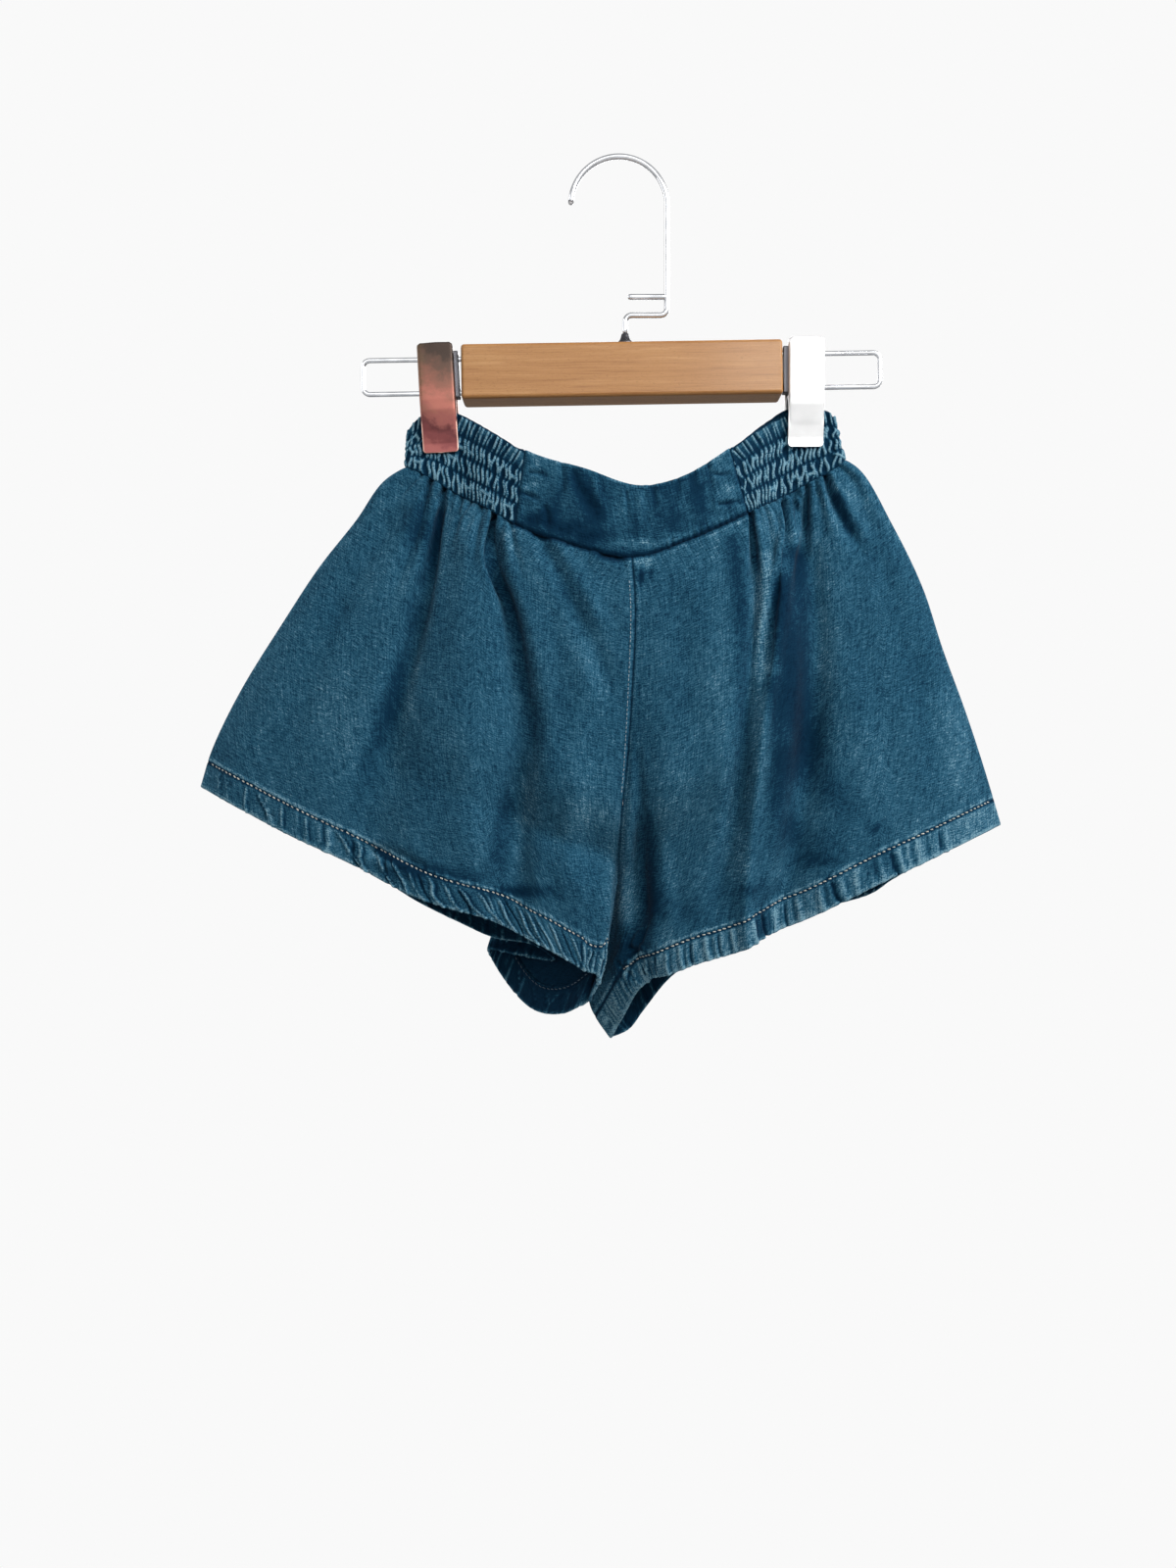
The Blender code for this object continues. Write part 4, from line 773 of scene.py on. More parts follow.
def gathers(grid, seed):
    """Heights of the small gathers below the waist seam, long and deep below the elastic."""
    top, down, under = grid.top, grid.down, grid.elastic
    rng = np.random.default_rng(seed)
    height = np.zeros(down.shape)
    place, end = 1.5, top.max()
    while place < end:
        below = np.interp(place, top, under)
        deep = rng.uniform(0.5, 1.5) * below + rng.uniform(0.2, 0.5) * (1 - below)
        length = rng.uniform(12, 52) * below + rng.uniform(5, 13) * (1 - below)
        width = rng.uniform(0.9, 1.7) * below + rng.uniform(0.7, 1.1) * (1 - below)
        bend, wave = rng.uniform(-2.5, 2.5), rng.uniform(14, 30)
        middle = place + bend * np.sin(down / wave) * ease(down, 0, 20)
        away = top[None, :] - middle
        fade = 1 - ease(down, 0.25 * length, length)
        height -= deep * fade * bump(away, width * (1 + down / 30))
        place += rng.uniform(4.0, 9.0) * below + rng.uniform(2.6, 5.0) * (1 - below)
    puff = ease(down, 0.5, 6) * (1 - ease(down, 9, 42))
    return height + under[None, :] * 0.9 * puff


def hem_ridge_rows(panel, grid, rng):
    """Rows of a hem's ridges: distance along at the stitches and fold, width, height, bend.

    Those of the panel's table come first, and the rest of the hem is filled at uneven steps.
    """
    at_top, at_fold = grid.across[STITCH_ROW], grid.across[-1]
    x_top, x_fold = grid.x[STITCH_ROW], grid.x[-1]
    rows = []
    turn = 1 if x_fold[-1] > x_fold[0] else -1
    for from_x, to_x, width, height, bend in panel["ridges"]:
        top = np.interp(turn * from_x, turn * x_top, at_top)
        foot = np.interp(turn * to_x, turn * x_fold, at_fold)
        rows.append((top, foot, width, height, turn * bend))
    place = rows[-1][0] + 4 if rows else at_top[0] + 3
    least, most, least_slant, most_slant, wide, tall = panel["steps"]
    while place < at_top[-1] - 2:
        foot = np.interp(place, at_top, at_fold) + rng.uniform(least_slant, most_slant)
        rows.append((
            place, foot, wide * rng.uniform(0.75, 1.25), tall * rng.uniform(0.45, 1.25),
            rng.uniform(-1.2, 1.6),
        ))
        place += rng.uniform(least, most)
    return rows


def hem_heights(rows, grid):
    """Heights of the hem's ridges and slits, and how pale they are: worn pale on the crests, with
    painted shadow beside the ridges and in the slits.
    """
    u, share, above = grid.across, grid.hem_share, grid.above
    height, paleness, dark = np.zeros(u.shape), np.zeros(u.shape), np.zeros(u.shape)
    held = np.where(share > 0, ease(share, 0.02, 0.3), 0.35 * (1 - ease(above, 0.5, 6.0)))
    held = np.where((share <= 0) & (above < 1.0), held * ease(above, 0, 1.0), held)
    for top, foot, width, tall, bend in rows:
        down = np.clip(share, -0.5, 1)
        middle = top + (foot - top) * down + bend * np.sin(2 * math.pi * np.clip(share, 0, 1))
        away = u - middle
        height += held * tall * (bump(away, width) - 0.4 * bump(np.abs(away) - 2.0 * width, width))
        if tall > 0:
            paleness = np.maximum(paleness, held * min(tall, 1.4) * bump(away, 0.7 * width))
            # Painted shadow beside the ridge, on the side that it bends to.
            beside = bump(away - np.sign(bend + 0.01) * 1.8 * width, 0.9 * width)
            dark = np.maximum(dark, 0.6 * held * tall * beside)
        else:
            # Painted shade in a slit.
            dark = np.maximum(dark, -held * tall * bump(away, 0.9 * width))
    return height, paleness - dark


def leg_height(grid, creased, gathered, ridged, seed):
    """Heights of a leg's cloth, with its seams and the edge of its hem worked in."""
    u, down, above = grid.across, grid.down, grid.above
    height = creased + gathered
    height += 0.55 * rough(u, down, (26, 40), seed + 2) * ease(down, 3, 30)
    height += 0.16 * rough(u, down, (6, 9), seed + 6)
    free = ease(grid.from_side, 0.5, 6) * ease(grid.from_centre, 0.5, 6)
    height = (height + ridged) * free
    height -= 0.35 * bump(above, 0.7) * ease(grid.from_side, 0, 1.5)
    height += 0.3 * bump(above - 1.9, 1.0) * free
    height += 0.25 * bump(grid.from_side - 2.2, 0.9)
    centre_seam = 0.3 * bump(grid.from_centre - 1.7, 0.8) - 0.25 * bump(grid.from_centre, 0.5)
    height += (1 - grid.on_inseam) * centre_seam
    height += grid.on_inseam * 0.7 * bump(grid.from_centre, 3.5)
    return height - (0.8 - 0.5 * grid.elastic) * bump(down, 1.3)


def leg_wear_and_shade(panel, grid, creased, gathered, ridge_wear_and_shadow, seed):
    """How worn a leg's cloth is, pale on ridges and edges and dark along its seams, with painted
    shade in its troughs, gathers, hem stitches and under the yoke, and bands of painted light and
    shade.
    """
    u, down, above = grid.across, grid.down, grid.above
    feathered = 0.95 + 1.1 * rough(u, down, (1.5, 5), seed + 11)
    feathered += 0.4 * rough(u, down, (9, 3), seed + 15)
    worn_edge = bump(above - 1.8, 1.2) * feathered
    fold_edge = 1.2 + 0.8 * rough(u, down, (4, 5), seed + 12)
    fold_edge = ease(grid.hem_share, 0.88, 1.0) * fold_edge
    side_seam = 0.3 + 0.3 * rough(u, down, (5, 8), seed + 13)
    side_seam = bump(grid.from_side - 2.0, 1.0) * side_seam
    patches = 0.16 * rough(u, down, (34, 50), seed + 14)
    wear_and_painted_shading = 1.6 * ridge_wear_and_shadow + worn_edge + fold_edge + side_seam + patches
    # Spots: worn places paler, and painted shade darker.
    wear_and_painted_shading += worn_and_shaded_spots(panel["spots"], grid.x, grid.z)
    # Bands of painted light and shade.
    wear_and_painted_shading += crease_height(panel["painted_shading"], grid.x, grid.z)
    wear_and_painted_shading += panel["hem_wear"] * ease(grid.hem_share, 0.02, 0.15)
    # Painted shade in the troughs of the creases and gathers.
    wear_and_painted_shading -= 0.12 * np.clip(-creased, 0, 4) + 0.14 * np.clip(-gathered, 0, 2)
    on_centre = 1 - grid.on_inseam
    # Painted shade along the hem's stitches, and a dark line along the seam.
    wear_and_painted_shading -= 2.6 * bump(above, 0.85) + (0.3 + 0.4 * on_centre) * bump(grid.from_centre, 0.45)
    pale_seam = 0.45 + 0.4 * rough(u, down, (3, 5), seed + 16)
    wear_and_painted_shading += on_centre * bump(grid.from_centre - 1.5, 0.7) * pale_seam
    # Below the yoke: a pale rim right of the middle, and a painted shadow line along the seam.
    rim = (0.6 + 0.7 * rough(u, down, (2.2, 4), seed + 17)) * ease(grid.x, -20, 15)
    wear_and_painted_shading += (1 - grid.elastic) * (rim * bump(down - 2.3, 0.9) - 1.8 * bump(down, 1.3))
    return wear_and_painted_shading


def folded_up(outer, inner):
    """The outer layer, the rounded fold at its foot and the hem's inner layer, as one grid."""
    fold_down = unit(outer[-1] - outer[-3])
    centre, half = (outer[-1] + inner[0]) / 2, np.linalg.norm(outer[-1] - inner[0], axis=1) / 2
    fold = []
    for step in range(1, FOLD_ROWS + 1):
        angle = math.pi * step / (FOLD_ROWS + 1)
        arm = (outer[-1] - centre) * math.cos(angle)
        fold.append(centre + arm + fold_down * half[:, None] * math.sin(angle))
    return np.concatenate([outer, np.array(fold), inner])


def make_leg(name, panel, material, seed):
    """A leg panel and its turned-up hem, in one wall of cloth, and the lines of its stitches."""
    grid = LegGrid(panel)
    normals, outward = facing(grid.points, (0, panel["face"], 0))
    rows = hem_ridge_rows(panel, grid, np.random.default_rng(seed))
    ridged, ridge_wear_and_shadow = hem_heights(rows, grid)
    creased = crease_height(panel["creases"], grid.x, grid.z)
    gathered = gathers(grid, seed + 1)
    height = leg_height(grid, creased, gathered, ridged, seed)
    wear_and_painted_shading = leg_wear_and_shade(panel, grid, creased, gathered, ridge_wear_and_shadow, seed)

    outer = grid.points + normals * height[:, :, None]
    back_up = slice(None, STITCH_ROW - 2, -1)  # the rows of the hem's inner layer, upwards
    spacing = HEM_SPACING + 0.35 * ease(grid.hem_share, 0.0, 0.4)
    inner = (grid.points + normals * (0.5 * height - spacing)[:, :, None])[back_up]
    whole = folded_up(outer, inner)
    # The hem's inner layer is painted darker, as painted shade inside the hem.
    whole_across, whole_wear_and_shade = (
        np.concatenate([values, np.repeat(values[-1:], FOLD_ROWS, 0), behind])
        for values, behind in (
            (grid.across, grid.across[back_up]), (wear_and_painted_shading, 0.8 * wear_and_painted_shading[back_up] - 1.0),
        )
    )
    item = shell(
        name.replace("leg", "panel"), whole, CLOTH_HALF, outward, material,
        (whole_across, lengths_along(whole, 0)), whole_wear_and_shade, inner_painted_shade=panel["inner_painted_shade"],
    )
    stands_for(item, "chambray", name, name.replace("leg", "hem"))

    final = grid_normals(outer) * outward
    beside = int(np.argmin(np.abs(grid.from_centre[STITCH_ROW // 2] - 1.7)))
    return item, {
        "hem": (outer[STITCH_ROW], final[STITCH_ROW]),
        "inside": (inner[-2], -final[STITCH_ROW]),
        "seam": (outer[:, beside], final[:, beside]),
    }


def shell(name, middle, half, outward, material, cloth, wear_and_painted_shading, rim=3, inner_painted_shade=-0.5):
    """A closed wall on a grid of middle points, with a rounded edge and smooth shading.

    `inner_painted_shade` is how much darker its inner face is painted, as painted shade inside the
    garment.
    """
    normals = grid_normals(middle) * outward
    rows, columns = middle.shape[:2]
    index = np.arange(rows * columns).reshape(rows, columns)
    border = np.concatenate([index[0, :-1], index[:-1, -1], index[-1, :0:-1], index[:0:-1, 0]])
    inside = np.concatenate([index[1, :-1], index[:-1, -2], index[-2, :0:-1], index[:0:-1, 1]])
    flat, flat_normals = middle.reshape(-1, 3), normals.reshape(-1, 3)
    edge_normals = flat_normals[border]
    out = flat[border] - flat[inside]
    out = unit(out - (out * edge_normals).sum(1, keepdims=True) * edge_normals)
    points = [flat + flat_normals * half, flat - flat_normals * half]
    for step in range(1, rim + 1):
        angle = math.pi * step / (rim + 1)
        ring = edge_normals * math.cos(angle) + out * math.sin(angle)
        points.append(flat[border] + ring * half)
    top = np.stack([index[:-1, :-1], index[:-1, 1:], index[1:, 1:], index[1:, :-1]], axis=-1)
    top = top.reshape(-1, 4)
    quads = [top, top[:, ::-1] + rows * columns]
    count = len(border)
    rings = [border]
    rings += [2 * rows * columns + step * count + np.arange(count) for step in range(rim)]
    rings.append(border + rows * columns)
    for upper, lower in zip(rings, rings[1:]):
        strip = [np.roll(upper, -1), upper, lower, np.roll(lower, -1)]
        quads.append(np.stack(strip, axis=-1))
    quads = np.concatenate(quads)
    if outward < 0:
        quads = quads[:, ::-1]
    source = np.concatenate([index.ravel(), index.ravel(), np.tile(border, rim)])
    uv = np.stack([cloth[0].ravel(), cloth[1].ravel()], axis=1)[source]
    paleness = wear_and_painted_shading.ravel()[source]
    # The inner face is painted darker, as painted shade inside the garment.
    paleness[rows * columns:2 * rows * columns] = 0.4 * wear_and_painted_shading.ravel() + inner_painted_shade
    paleness = np.maximum(np.where(paleness > 1, 1 + 0.35 * (paleness - 1), paleness), -1.25)
    return add_mesh(name, np.concatenate(points), quads, material, uv, paleness)


def add_mesh(name, points, quads, material, uv=None, wear_and_painted_shading=None):
    """A smooth-shaded mesh from points in millimetres, with places on its cloth and their wear and
    painted light and shade.
    """
    mesh = bpy.data.meshes.new(name)
    mesh.vertices.add(len(points))
    mesh.vertices.foreach_set("co", (np.asarray(points, float) * MM).ravel())
    mesh.loops.add(quads.size)
    mesh.loops.foreach_set("vertex_index", quads.ravel().astype(np.int32))
    mesh.polygons.add(len(quads))
    starts = np.arange(0, quads.size, quads.shape[1], dtype=np.int32)
    mesh.polygons.foreach_set("loop_start", starts)
    mesh.polygons.foreach_set("use_smooth", np.ones(len(quads), bool))
    if uv is not None:
        layer = mesh.uv_layers.new(name="cloth")
        layer.data.foreach_set("uv", uv[quads.ravel()].ravel())
    if wear_and_painted_shading is not None:
        paleness = mesh.attributes.new("wear_and_painted_shading", "FLOAT", "POINT")
        paleness.data.foreach_set("value", wear_and_painted_shading)
    mesh.update(calc_edges=True)
    mesh.validate()
    mesh.materials.append(material)
    return linked(name, mesh)


def linked(name, data):
    """A new object in the scene that shows the data."""
    item = bpy.data.objects.new(name, data)
    bpy.context.scene.collection.objects.link(item)
    return item


def stands_for(item, slot, *nodes):
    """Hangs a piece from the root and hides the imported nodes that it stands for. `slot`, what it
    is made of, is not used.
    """
    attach(item, "root")
    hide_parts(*nodes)


# ------------------------------------------------------------ waistband, in cloth


def band_middle(stations, heights):
    """Points between the waistband's top edge and its seam, rows from the top down."""
    top, seam = waist_edges(stations)
    share = np.asarray(heights)[:, None, None]
    return top[None] * (1 - share) + seam[None] * share


def even_stations(first, last, columns):
    """Waist stations that are an even distance apart along the waistband's middle."""
    stations = np.linspace(first, last, 2400)
    middle = band_middle(stations, [0.5])[0]
    run = np.concatenate([[0.0], np.cumsum(np.linalg.norm(np.diff(middle, axis=0), axis=1))])
    return np.interp(np.linspace(0, run[-1], columns), run, stations)


def smock_row(run, parts, start, end, way, top, rng):
    """How much of a ridge stands at distances round the band and shares down one row of it.

    The ridges are short waves from `start` to `end`: some cross to their neighbour's place, and
    some are bridged to it. The top row's are thin, straight and in pairs. `way` is -1 or 1, the
    side that most of a ridge's waves bend to.
    """
    count = len(start)
    end = end.copy()
    for i in range(count - 1):
        if rng.uniform() < 0.12 and not top:
            end[i], end[i + 1] = end[i + 1], end[i]
    wave = rng.choice((-1, 1), count, p=(0.2, 0.8)) * rng.uniform(0.35, 1.0, count) * way
    bow = rng.uniform(-0.5, 0.5, count)
    tall = rng.uniform(0.8, 1.1, count)
    width = rng.uniform(0.42, 0.60, count) if top else rng.uniform(0.60, 0.84, count)
    bridged = rng.uniform(0, 1, count) < (0.10 if top else 0.34)
    bridge = np.where(bridged, rng.uniform(0.3, 0.7, count), -9)
    plateau = np.where(rng.uniform(0, 1, count) < (0.45 if top else 0.0), 0.42, 0.0)
    crests = []
    for part in parts:
        middle = start + (end - start) * part + bow * math.sin(math.pi * part)
        pinch = 0.1 + 0.9 * math.cos(math.pi / 2 * part) ** 0.4
        if not top:
            middle = middle + wave * math.sin(2 * math.pi * part)
            pinch = math.sin(math.pi * part) ** 0.4
        away = np.abs(run[:, None] - middle[None, :])
        ridge = np.exp(-((away / width) ** 2.6)) * tall * pinch
        after = np.roll(middle, -1)
        between = (run[:, None] > middle[None, :]) & (run[:, None] < after[None, :])
        link = between * tall * np.maximum(0.9 * bump(part - bridge, 0.12), plateau * pinch)
        crests.append(np.maximum(ridge, link).max(axis=1))
    return np.array(crests)


def smocking(run, share, lean, rng):
    """Heights and paleness of the smocked ridges at distances round the band and shares down it.

    Five lines part the band into four rows. `lean` is how far the ridges lean from the yoke,
    from -1 to 1.
    """
    places = [0.6]
    while places[-1] < run[-1] - 1.2:
        step = rng.uniform(2.1, 2.7) if len(places) % 2 else rng.uniform(3.0, 3.9)
        places.append(places[-1] + step)
    places = np.array(places)
    leans = np.interp(places, run, lean)
    lines = places + rng.uniform(-0.6, 0.6, (len(SMOCK_LINES), len(places)))
    lines[0] -= 5.0 * leans
    lines[1] -= 1.2 * leans
    lines[3:] += 0.6 * leans
    way = np.where(leans < 0, -1, 1)
    crest = np.zeros((len(share), len(run)))
    for row, (first, last) in enumerate(zip(SMOCK_LINES, SMOCK_LINES[1:])):
        inside = np.flatnonzero((share >= first - 1e-6) & (share <= last + 1e-6))
        parts = (share[inside] - first) / (last - first)
        made = smock_row(run, parts, lines[row], lines[row + 1], way, row == 0, rng)
        crest[inside] = np.maximum(crest[inside], made)
    tallness = np.interp(share, SMOCK_LINES[:-1], SMOCK_HEIGHTS)[:, None]
    return (1.5 * crest - 0.6) * tallness, crest


def make_elastic(material):
    """The smocked waistband, in one wall of cloth round the back from yoke seam to yoke seam."""
    stations = []
    for first, last, columns in BAND_RUNS:
        inset = (SEAM_INSET if first == 1 else 0, SEAM_INSET if last == 5 else 0)
        run = even_stations(first + inset[0], last - inset[1], columns)
        stations.append(run if last == 5 else run[:-1])
    stations = np.concatenate(stations)
    share = np.linspace(0, 1, BAND_ROWS)
    points = band_middle(stations, share)
    normals, outward = facing(points, points - points.mean(axis=(0, 1)))
    along, down = lengths_along(points, 1), lengths_along(points, 0)
    rng = np.random.default_rng(41)
    lean = (1 - ease(stations, 1.5, 2.0)) - ease(stations, 4.0, 4.5)
    height, crest = smocking(along[BAND_ROWS // 2], share, lean, rng)
    calm = np.ones(height.shape)
    for _, clip_x, _, _ in CLIPS:
        near = 1 - ease(np.abs(points[:, :, 0] - clip_x), 8.5, 12.5)
        calm -= 0.55 * near * (1 - ease(share, 0.3, 0.5))[:, None]
    ends = np.minimum(along, along[:, -1:] - along)
    height = height * calm * ease(ends, 0.3, 2.0)
    layer = points + normals * height[:, :, None]
    ruffle = (1 - ease(share, 0, 0.08))[:, None]
    ruffle = ruffle * (1.5 * crest - 0.7 + 0.5 * rough(along, down, (5, 7), 43))
    layer[:, :, 2] += ruffle * ease(ends, 0.5, 4)
    # Crests worn pale, and painted shade in the hollows between them.
    wear_and_painted_shading = 3.1 * ease(crest, 0.15, 0.85) - 1.25
    wear_and_painted_shading += 0.35 * rough(along, down, (2.2, 4), 44) + 0.25 * rough(along, down, (16, 12), 45)
    wear_and_painted_shading += 0.6 * crest * (1 - ease(share, 0.04, 0.22))[:, None]
    wear_and_painted_shading += (1 - ease(share, 0.0, 0.05))[:, None] * (0.5 + 0.5 * crest)
    cloth = (along * BAND_STRETCH, down)
    item = shell("smocked_waistband", layer, BAND_HALF, outward, material, cloth, wear_and_painted_shading)
    stands_for(item, "chambray", "elastic_waistband")
    return item


def yoke_puckers(along, seam_x, up, rng):
    """Heights of the puckers that rise from the seam below the yoke, taller on the right."""
    height = np.zeros(along.shape)
    place = 2.0
    while place < along[-1].max():
        strong = 0.35 + 0.65 * ease(np.interp(place, along[-1], seam_x), 15, 30)
        length = rng.uniform(4, 8) * strong
        middle = place + rng.uniform(-0.25, 0.25) * up
        pucker = (1 - ease(up, 0.3 * length, length)) * bump(along - middle, rng.uniform(0.7, 1.2))
        height += strong * rng.uniform(0.5, 1.1) * pucker
        place += rng.uniform(2.6, 4.8)
    return height


def yoke_ticks(along, down, rng):
    """Depths of the short ticks that run down from the yoke's top edge."""
    depth = np.zeros(along.shape)
    place = 3.0
    while place < along[0].max():
        length = rng.uniform(1.5, 5.0)
        tick = rng.uniform(0.2, 0.7) * (1 - ease(down, 0.2 * length, length))
        depth += tick * bump(along - place, 0.7)
        place += rng.uniform(2.2, 4.5)
    return depth


def make_yoke(material):
    """The smooth front yoke, puckered along the seam below it and ticked along its top edge."""
    stations = even_stations(5 + SEAM_INSET, 7 - SEAM_INSET, YOKE_COLUMNS)
    share = np.linspace(0, 1, YOKE_ROWS)
    points = band_middle(stations, share)
    normals, outward = facing(points, (0, -1, 0))
    along, down = lengths_along(points, 1), lengths_along(points, 0)
    up = down[-1:] - down
    x, z = points[:, :, 0], points[:, :, 2]
    height = crease_height(YOKE_CREASES, x, z)
    creased = height.copy()
    height += 0.35 * rough(along, down, (9, 26), 61) + 0.12 * rough(along, down, (3, 5), 62)
    rng = np.random.default_rng(63)
    puckers = yoke_puckers(along, x[-1], up, rng)
    ticks = yoke_ticks(along, down, rng)
    ends = np.minimum(along, along[:, -1:] - along)
    height = (height + puckers - 0.6 * ticks) * ease(ends, 0.3, 4)
    height -= 0.8 * bump(ends, 1.2) - 0.25 * bump(ends - 2.6, 1.0)
    height -= 1.0 * bump(up, 1.0)
    layer = points + normals * height[:, :, None]
    # Painted shade in the ticks, in the creases' troughs and in a line along the seam below; darker
    # at the ends; puckers and raised creases paler.
    wear_and_painted_shading = 0.6 * puckers - 0.9 * ticks - 0.45 + 0.4 * rough(along, down, (8, 26), 64)
    wear_and_painted_shading -= 2.0 * bump(up, 1.2) + 0.8 * bump(ends, 0.9)
    wear_and_painted_shading += 0.5 * np.clip(creased, -2, 1)
    wear_and_painted_shading += worn_and_shaded_spots(YOKE_SPOTS, x, z) * (0.8 + 0.6 * rough(along, down, (3, 6), 65))
    wear_and_painted_shading += 0.8 * (1 - ease(down, 0, 1.6)) * (0.8 + 0.5 * rough(along, down, (4, 4), 66))
    item = shell("yoke_front", layer, YOKE_HALF, outward, material, (along, down), wear_and_painted_shading, rim=5)
    stands_for(item, "chambray", "front_yoke")
    return item


# ------------------------------------------------------------ stitches, wires and plates


def ring_angles(sides):
    """Even angles round a ring of points."""
    return 2 * np.pi * np.arange(sides) / sides


def quads_between(first, sides, rings):
    """Quads that join rings of points, numbered from `first`, each to the next."""
    quads = []
    for k in range(rings - 1):
        low = first + k * sides + np.arange(sides)
        high = low + sides
        quads.append(np.stack([low, np.roll(low, -1), np.roll(high, -1), high], axis=-1))
    return quads


def end_quads(first, sides, rings):
    """Quads that close the first and the last ring."""
    quads = []
    for base, turn in ((first, -1), (first + (rings - 1) * sides, 1)):
        rows = [
            (base + k, base + k + 1, base + sides - 2 - k, base + sides - 1 - k)
            for k in range(sides // 2 - 1)
        ]
        quads.append(np.array(rows)[:, ::turn])
    return quads


def stitches(name, lines, pitch, length, radius, material, seed, tilt):
    """One mesh of short thread stitches along lines of (points, normals), their ends dipping in.

    Each is turned by `tilt` degrees off its line, as a twisted thread lies.
    """
    rng = np.random.default_rng(seed)
    angles = ring_angles(STITCH_SIDES)[:, None]
    points, quads = [], []
    for line, normals in lines:
        run = np.concatenate([[0.0], np.cumsum(np.linalg.norm(np.diff(line, axis=0), axis=1))])
        places = np.arange(pitch, run[-1] - pitch, pitch)
        places = places + rng.uniform(-0.12, 0.12, len(places)) * pitch
        for place in places:
            size = length * rng.uniform(0.88, 1.08)
            ends = np.array([place - size / 2, place, place + size / 2])
            start, centre, end = (
                np.array([np.interp(at, run, line[:, k]) for k in range(3)]) for at in ends
            )
            up = unit(np.array([np.interp(place, run, normals[:, k]) for k in range(3)]))
            way = unit(end - start)
            side = unit(np.cross(way, up))
            up = np.cross(side, way)
            turn = math.radians(tilt + rng.uniform(-4, 4))
            way = way * math.cos(turn) + side * math.sin(turn)
            side = np.cross(way, up)
            first = len(points) * STITCH_SIDES
            for along, fat, dip in STITCH_RINGS:
                lift = CLOTH_HALF + 0.12 + dip * radius * 1.4
                middle = centre + way * along * size / 2 + up * lift
                ring = side * np.cos(angles) + up * np.sin(angles)
                points.append(middle + ring * radius * fat)
            quads += quads_between(first, STITCH_SIDES, len(STITCH_RINGS))
            last = first + (len(STITCH_RINGS) - 1) * STITCH_SIDES
            quads.append(np.array([[3, 2, 1, 0], [0, 5, 4, 3]]) + first)
            quads.append(np.array([[0, 1, 2, 3], [3, 4, 5, 0]]) + last)
    item = add_mesh(name, np.concatenate(points), np.concatenate(quads), material)
    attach(item, "root")
    return item


def tube_parts(path, radius, sides, first):
    """Points and quads of a round wire along a path, its ends softly rounded."""
    path = np.array([tuple(point) for point in path], float)
    ways = unit(np.gradient(path, axis=0))
    side = unit(np.cross(ways[0], [0.3, 1.0, 0.2]))
    start, end = path[0], path[-1]
    path = np.concatenate([[start] * 3, path[1:-1], [end] * 3])
    ways = np.concatenate([[ways[0]] * 2, ways, [ways[-1]] * 2])
    inset = radius * np.array([0.0, 0.3, 1.0])
    path[:3] += ways[:3] * inset[:, None]
    path[-3:] -= ways[-3:] * inset[::-1, None]
    fat = np.ones(len(path))
    fat[[0, -1]], fat[[1, -2]] = 0.45, 0.85
    points = []
    angles = ring_angles(sides)[:, None]
    for place, way, wide in zip(path, ways, fat):
        side = unit(side - way * np.dot(side, way))
        up = np.cross(way, side)
        points.append(place + (side * np.cos(angles) + up * np.sin(angles)) * radius * wide)
    quads = quads_between(first, sides, len(path)) + end_quads(first, sides, len(path))
    return np.concatenate(points), np.concatenate(quads)


def add_tubes(name, runs, material):
    """One mesh of several wires. Each run is (path, radius, sides)."""
    points, quads, first = [], [], 0
    for path, radius, sides in runs:
        more, faces = tube_parts(path, radius, sides, first)
        points.append(more)
        quads.append(faces)
        first += len(more)
    return add_mesh(name, np.concatenate(points), np.concatenate(quads), material)


def put(item, place, turn_y):
    """Moves the item to a place in millimetres and turns it about Y."""
    item.location = Vector(place) * MM
    item.rotation_euler = (0.0, turn_y, 0.0)


def add_box(name, size, bevel, segments, material):
    """A box with rounded edges, its middle at the origin."""
    mesh = bpy.data.meshes.new(name)
    shape = bmesh.new()
    bmesh.ops.create_cube(shape, size=1.0)
    bmesh.ops.scale(shape, vec=Vector(size) * MM, verts=shape.verts)
    shape.to_mesh(mesh)
    shape.free()
    mesh.materials.append(material)
    item = linked(name, mesh)
    rounding = item.modifiers.new("rounding", "BEVEL")
    rounding.width = bevel * MM
    rounding.segments = segments
    rounding.harden_normals = True
    mesh.shade_smooth()
    return item


def shaped_by(item, other, operation):
    """Joins the other shape to the item or cuts it out, and removes the other."""
    change = item.modifiers.new("shape", "BOOLEAN")
    change.operation = operation
    change.object = other
    bpy.context.view_layer.update()
    graph = bpy.context.evaluated_depsgraph_get()
    made = bpy.data.meshes.new_from_object(item.evaluated_get(graph))
    item.modifiers.clear()
    item.data = made
    bpy.data.objects.remove(other, do_unlink=True)


def bored(item, radius, ends):
    """Bores round holes along the item's own X, each at (x from, x to, height)."""
    for start, stop, height in ends:
        mesh = bpy.data.meshes.new("bore")
        shape = bmesh.new()
        bmesh.ops.create_cone(
            shape, cap_ends=True, segments=28, radius1=radius * MM, radius2=radius * MM,
            depth=(stop - start) * MM,
        )
        place = Matrix.Translation(Vector(((start + stop) / 2, 0.0, height)) * MM)
        turn = Matrix.Rotation(math.pi / 2, 4, "Y")
        bmesh.ops.transform(shape, matrix=place @ turn, verts=shape.verts)
        shape.to_mesh(mesh)
        shape.free()
        cutter = linked("bore", mesh)
        cutter.matrix_world = item.matrix_world
        shaped_by(item, cutter, "DIFFERENCE")


# ------------------------------------------------------------ hanger


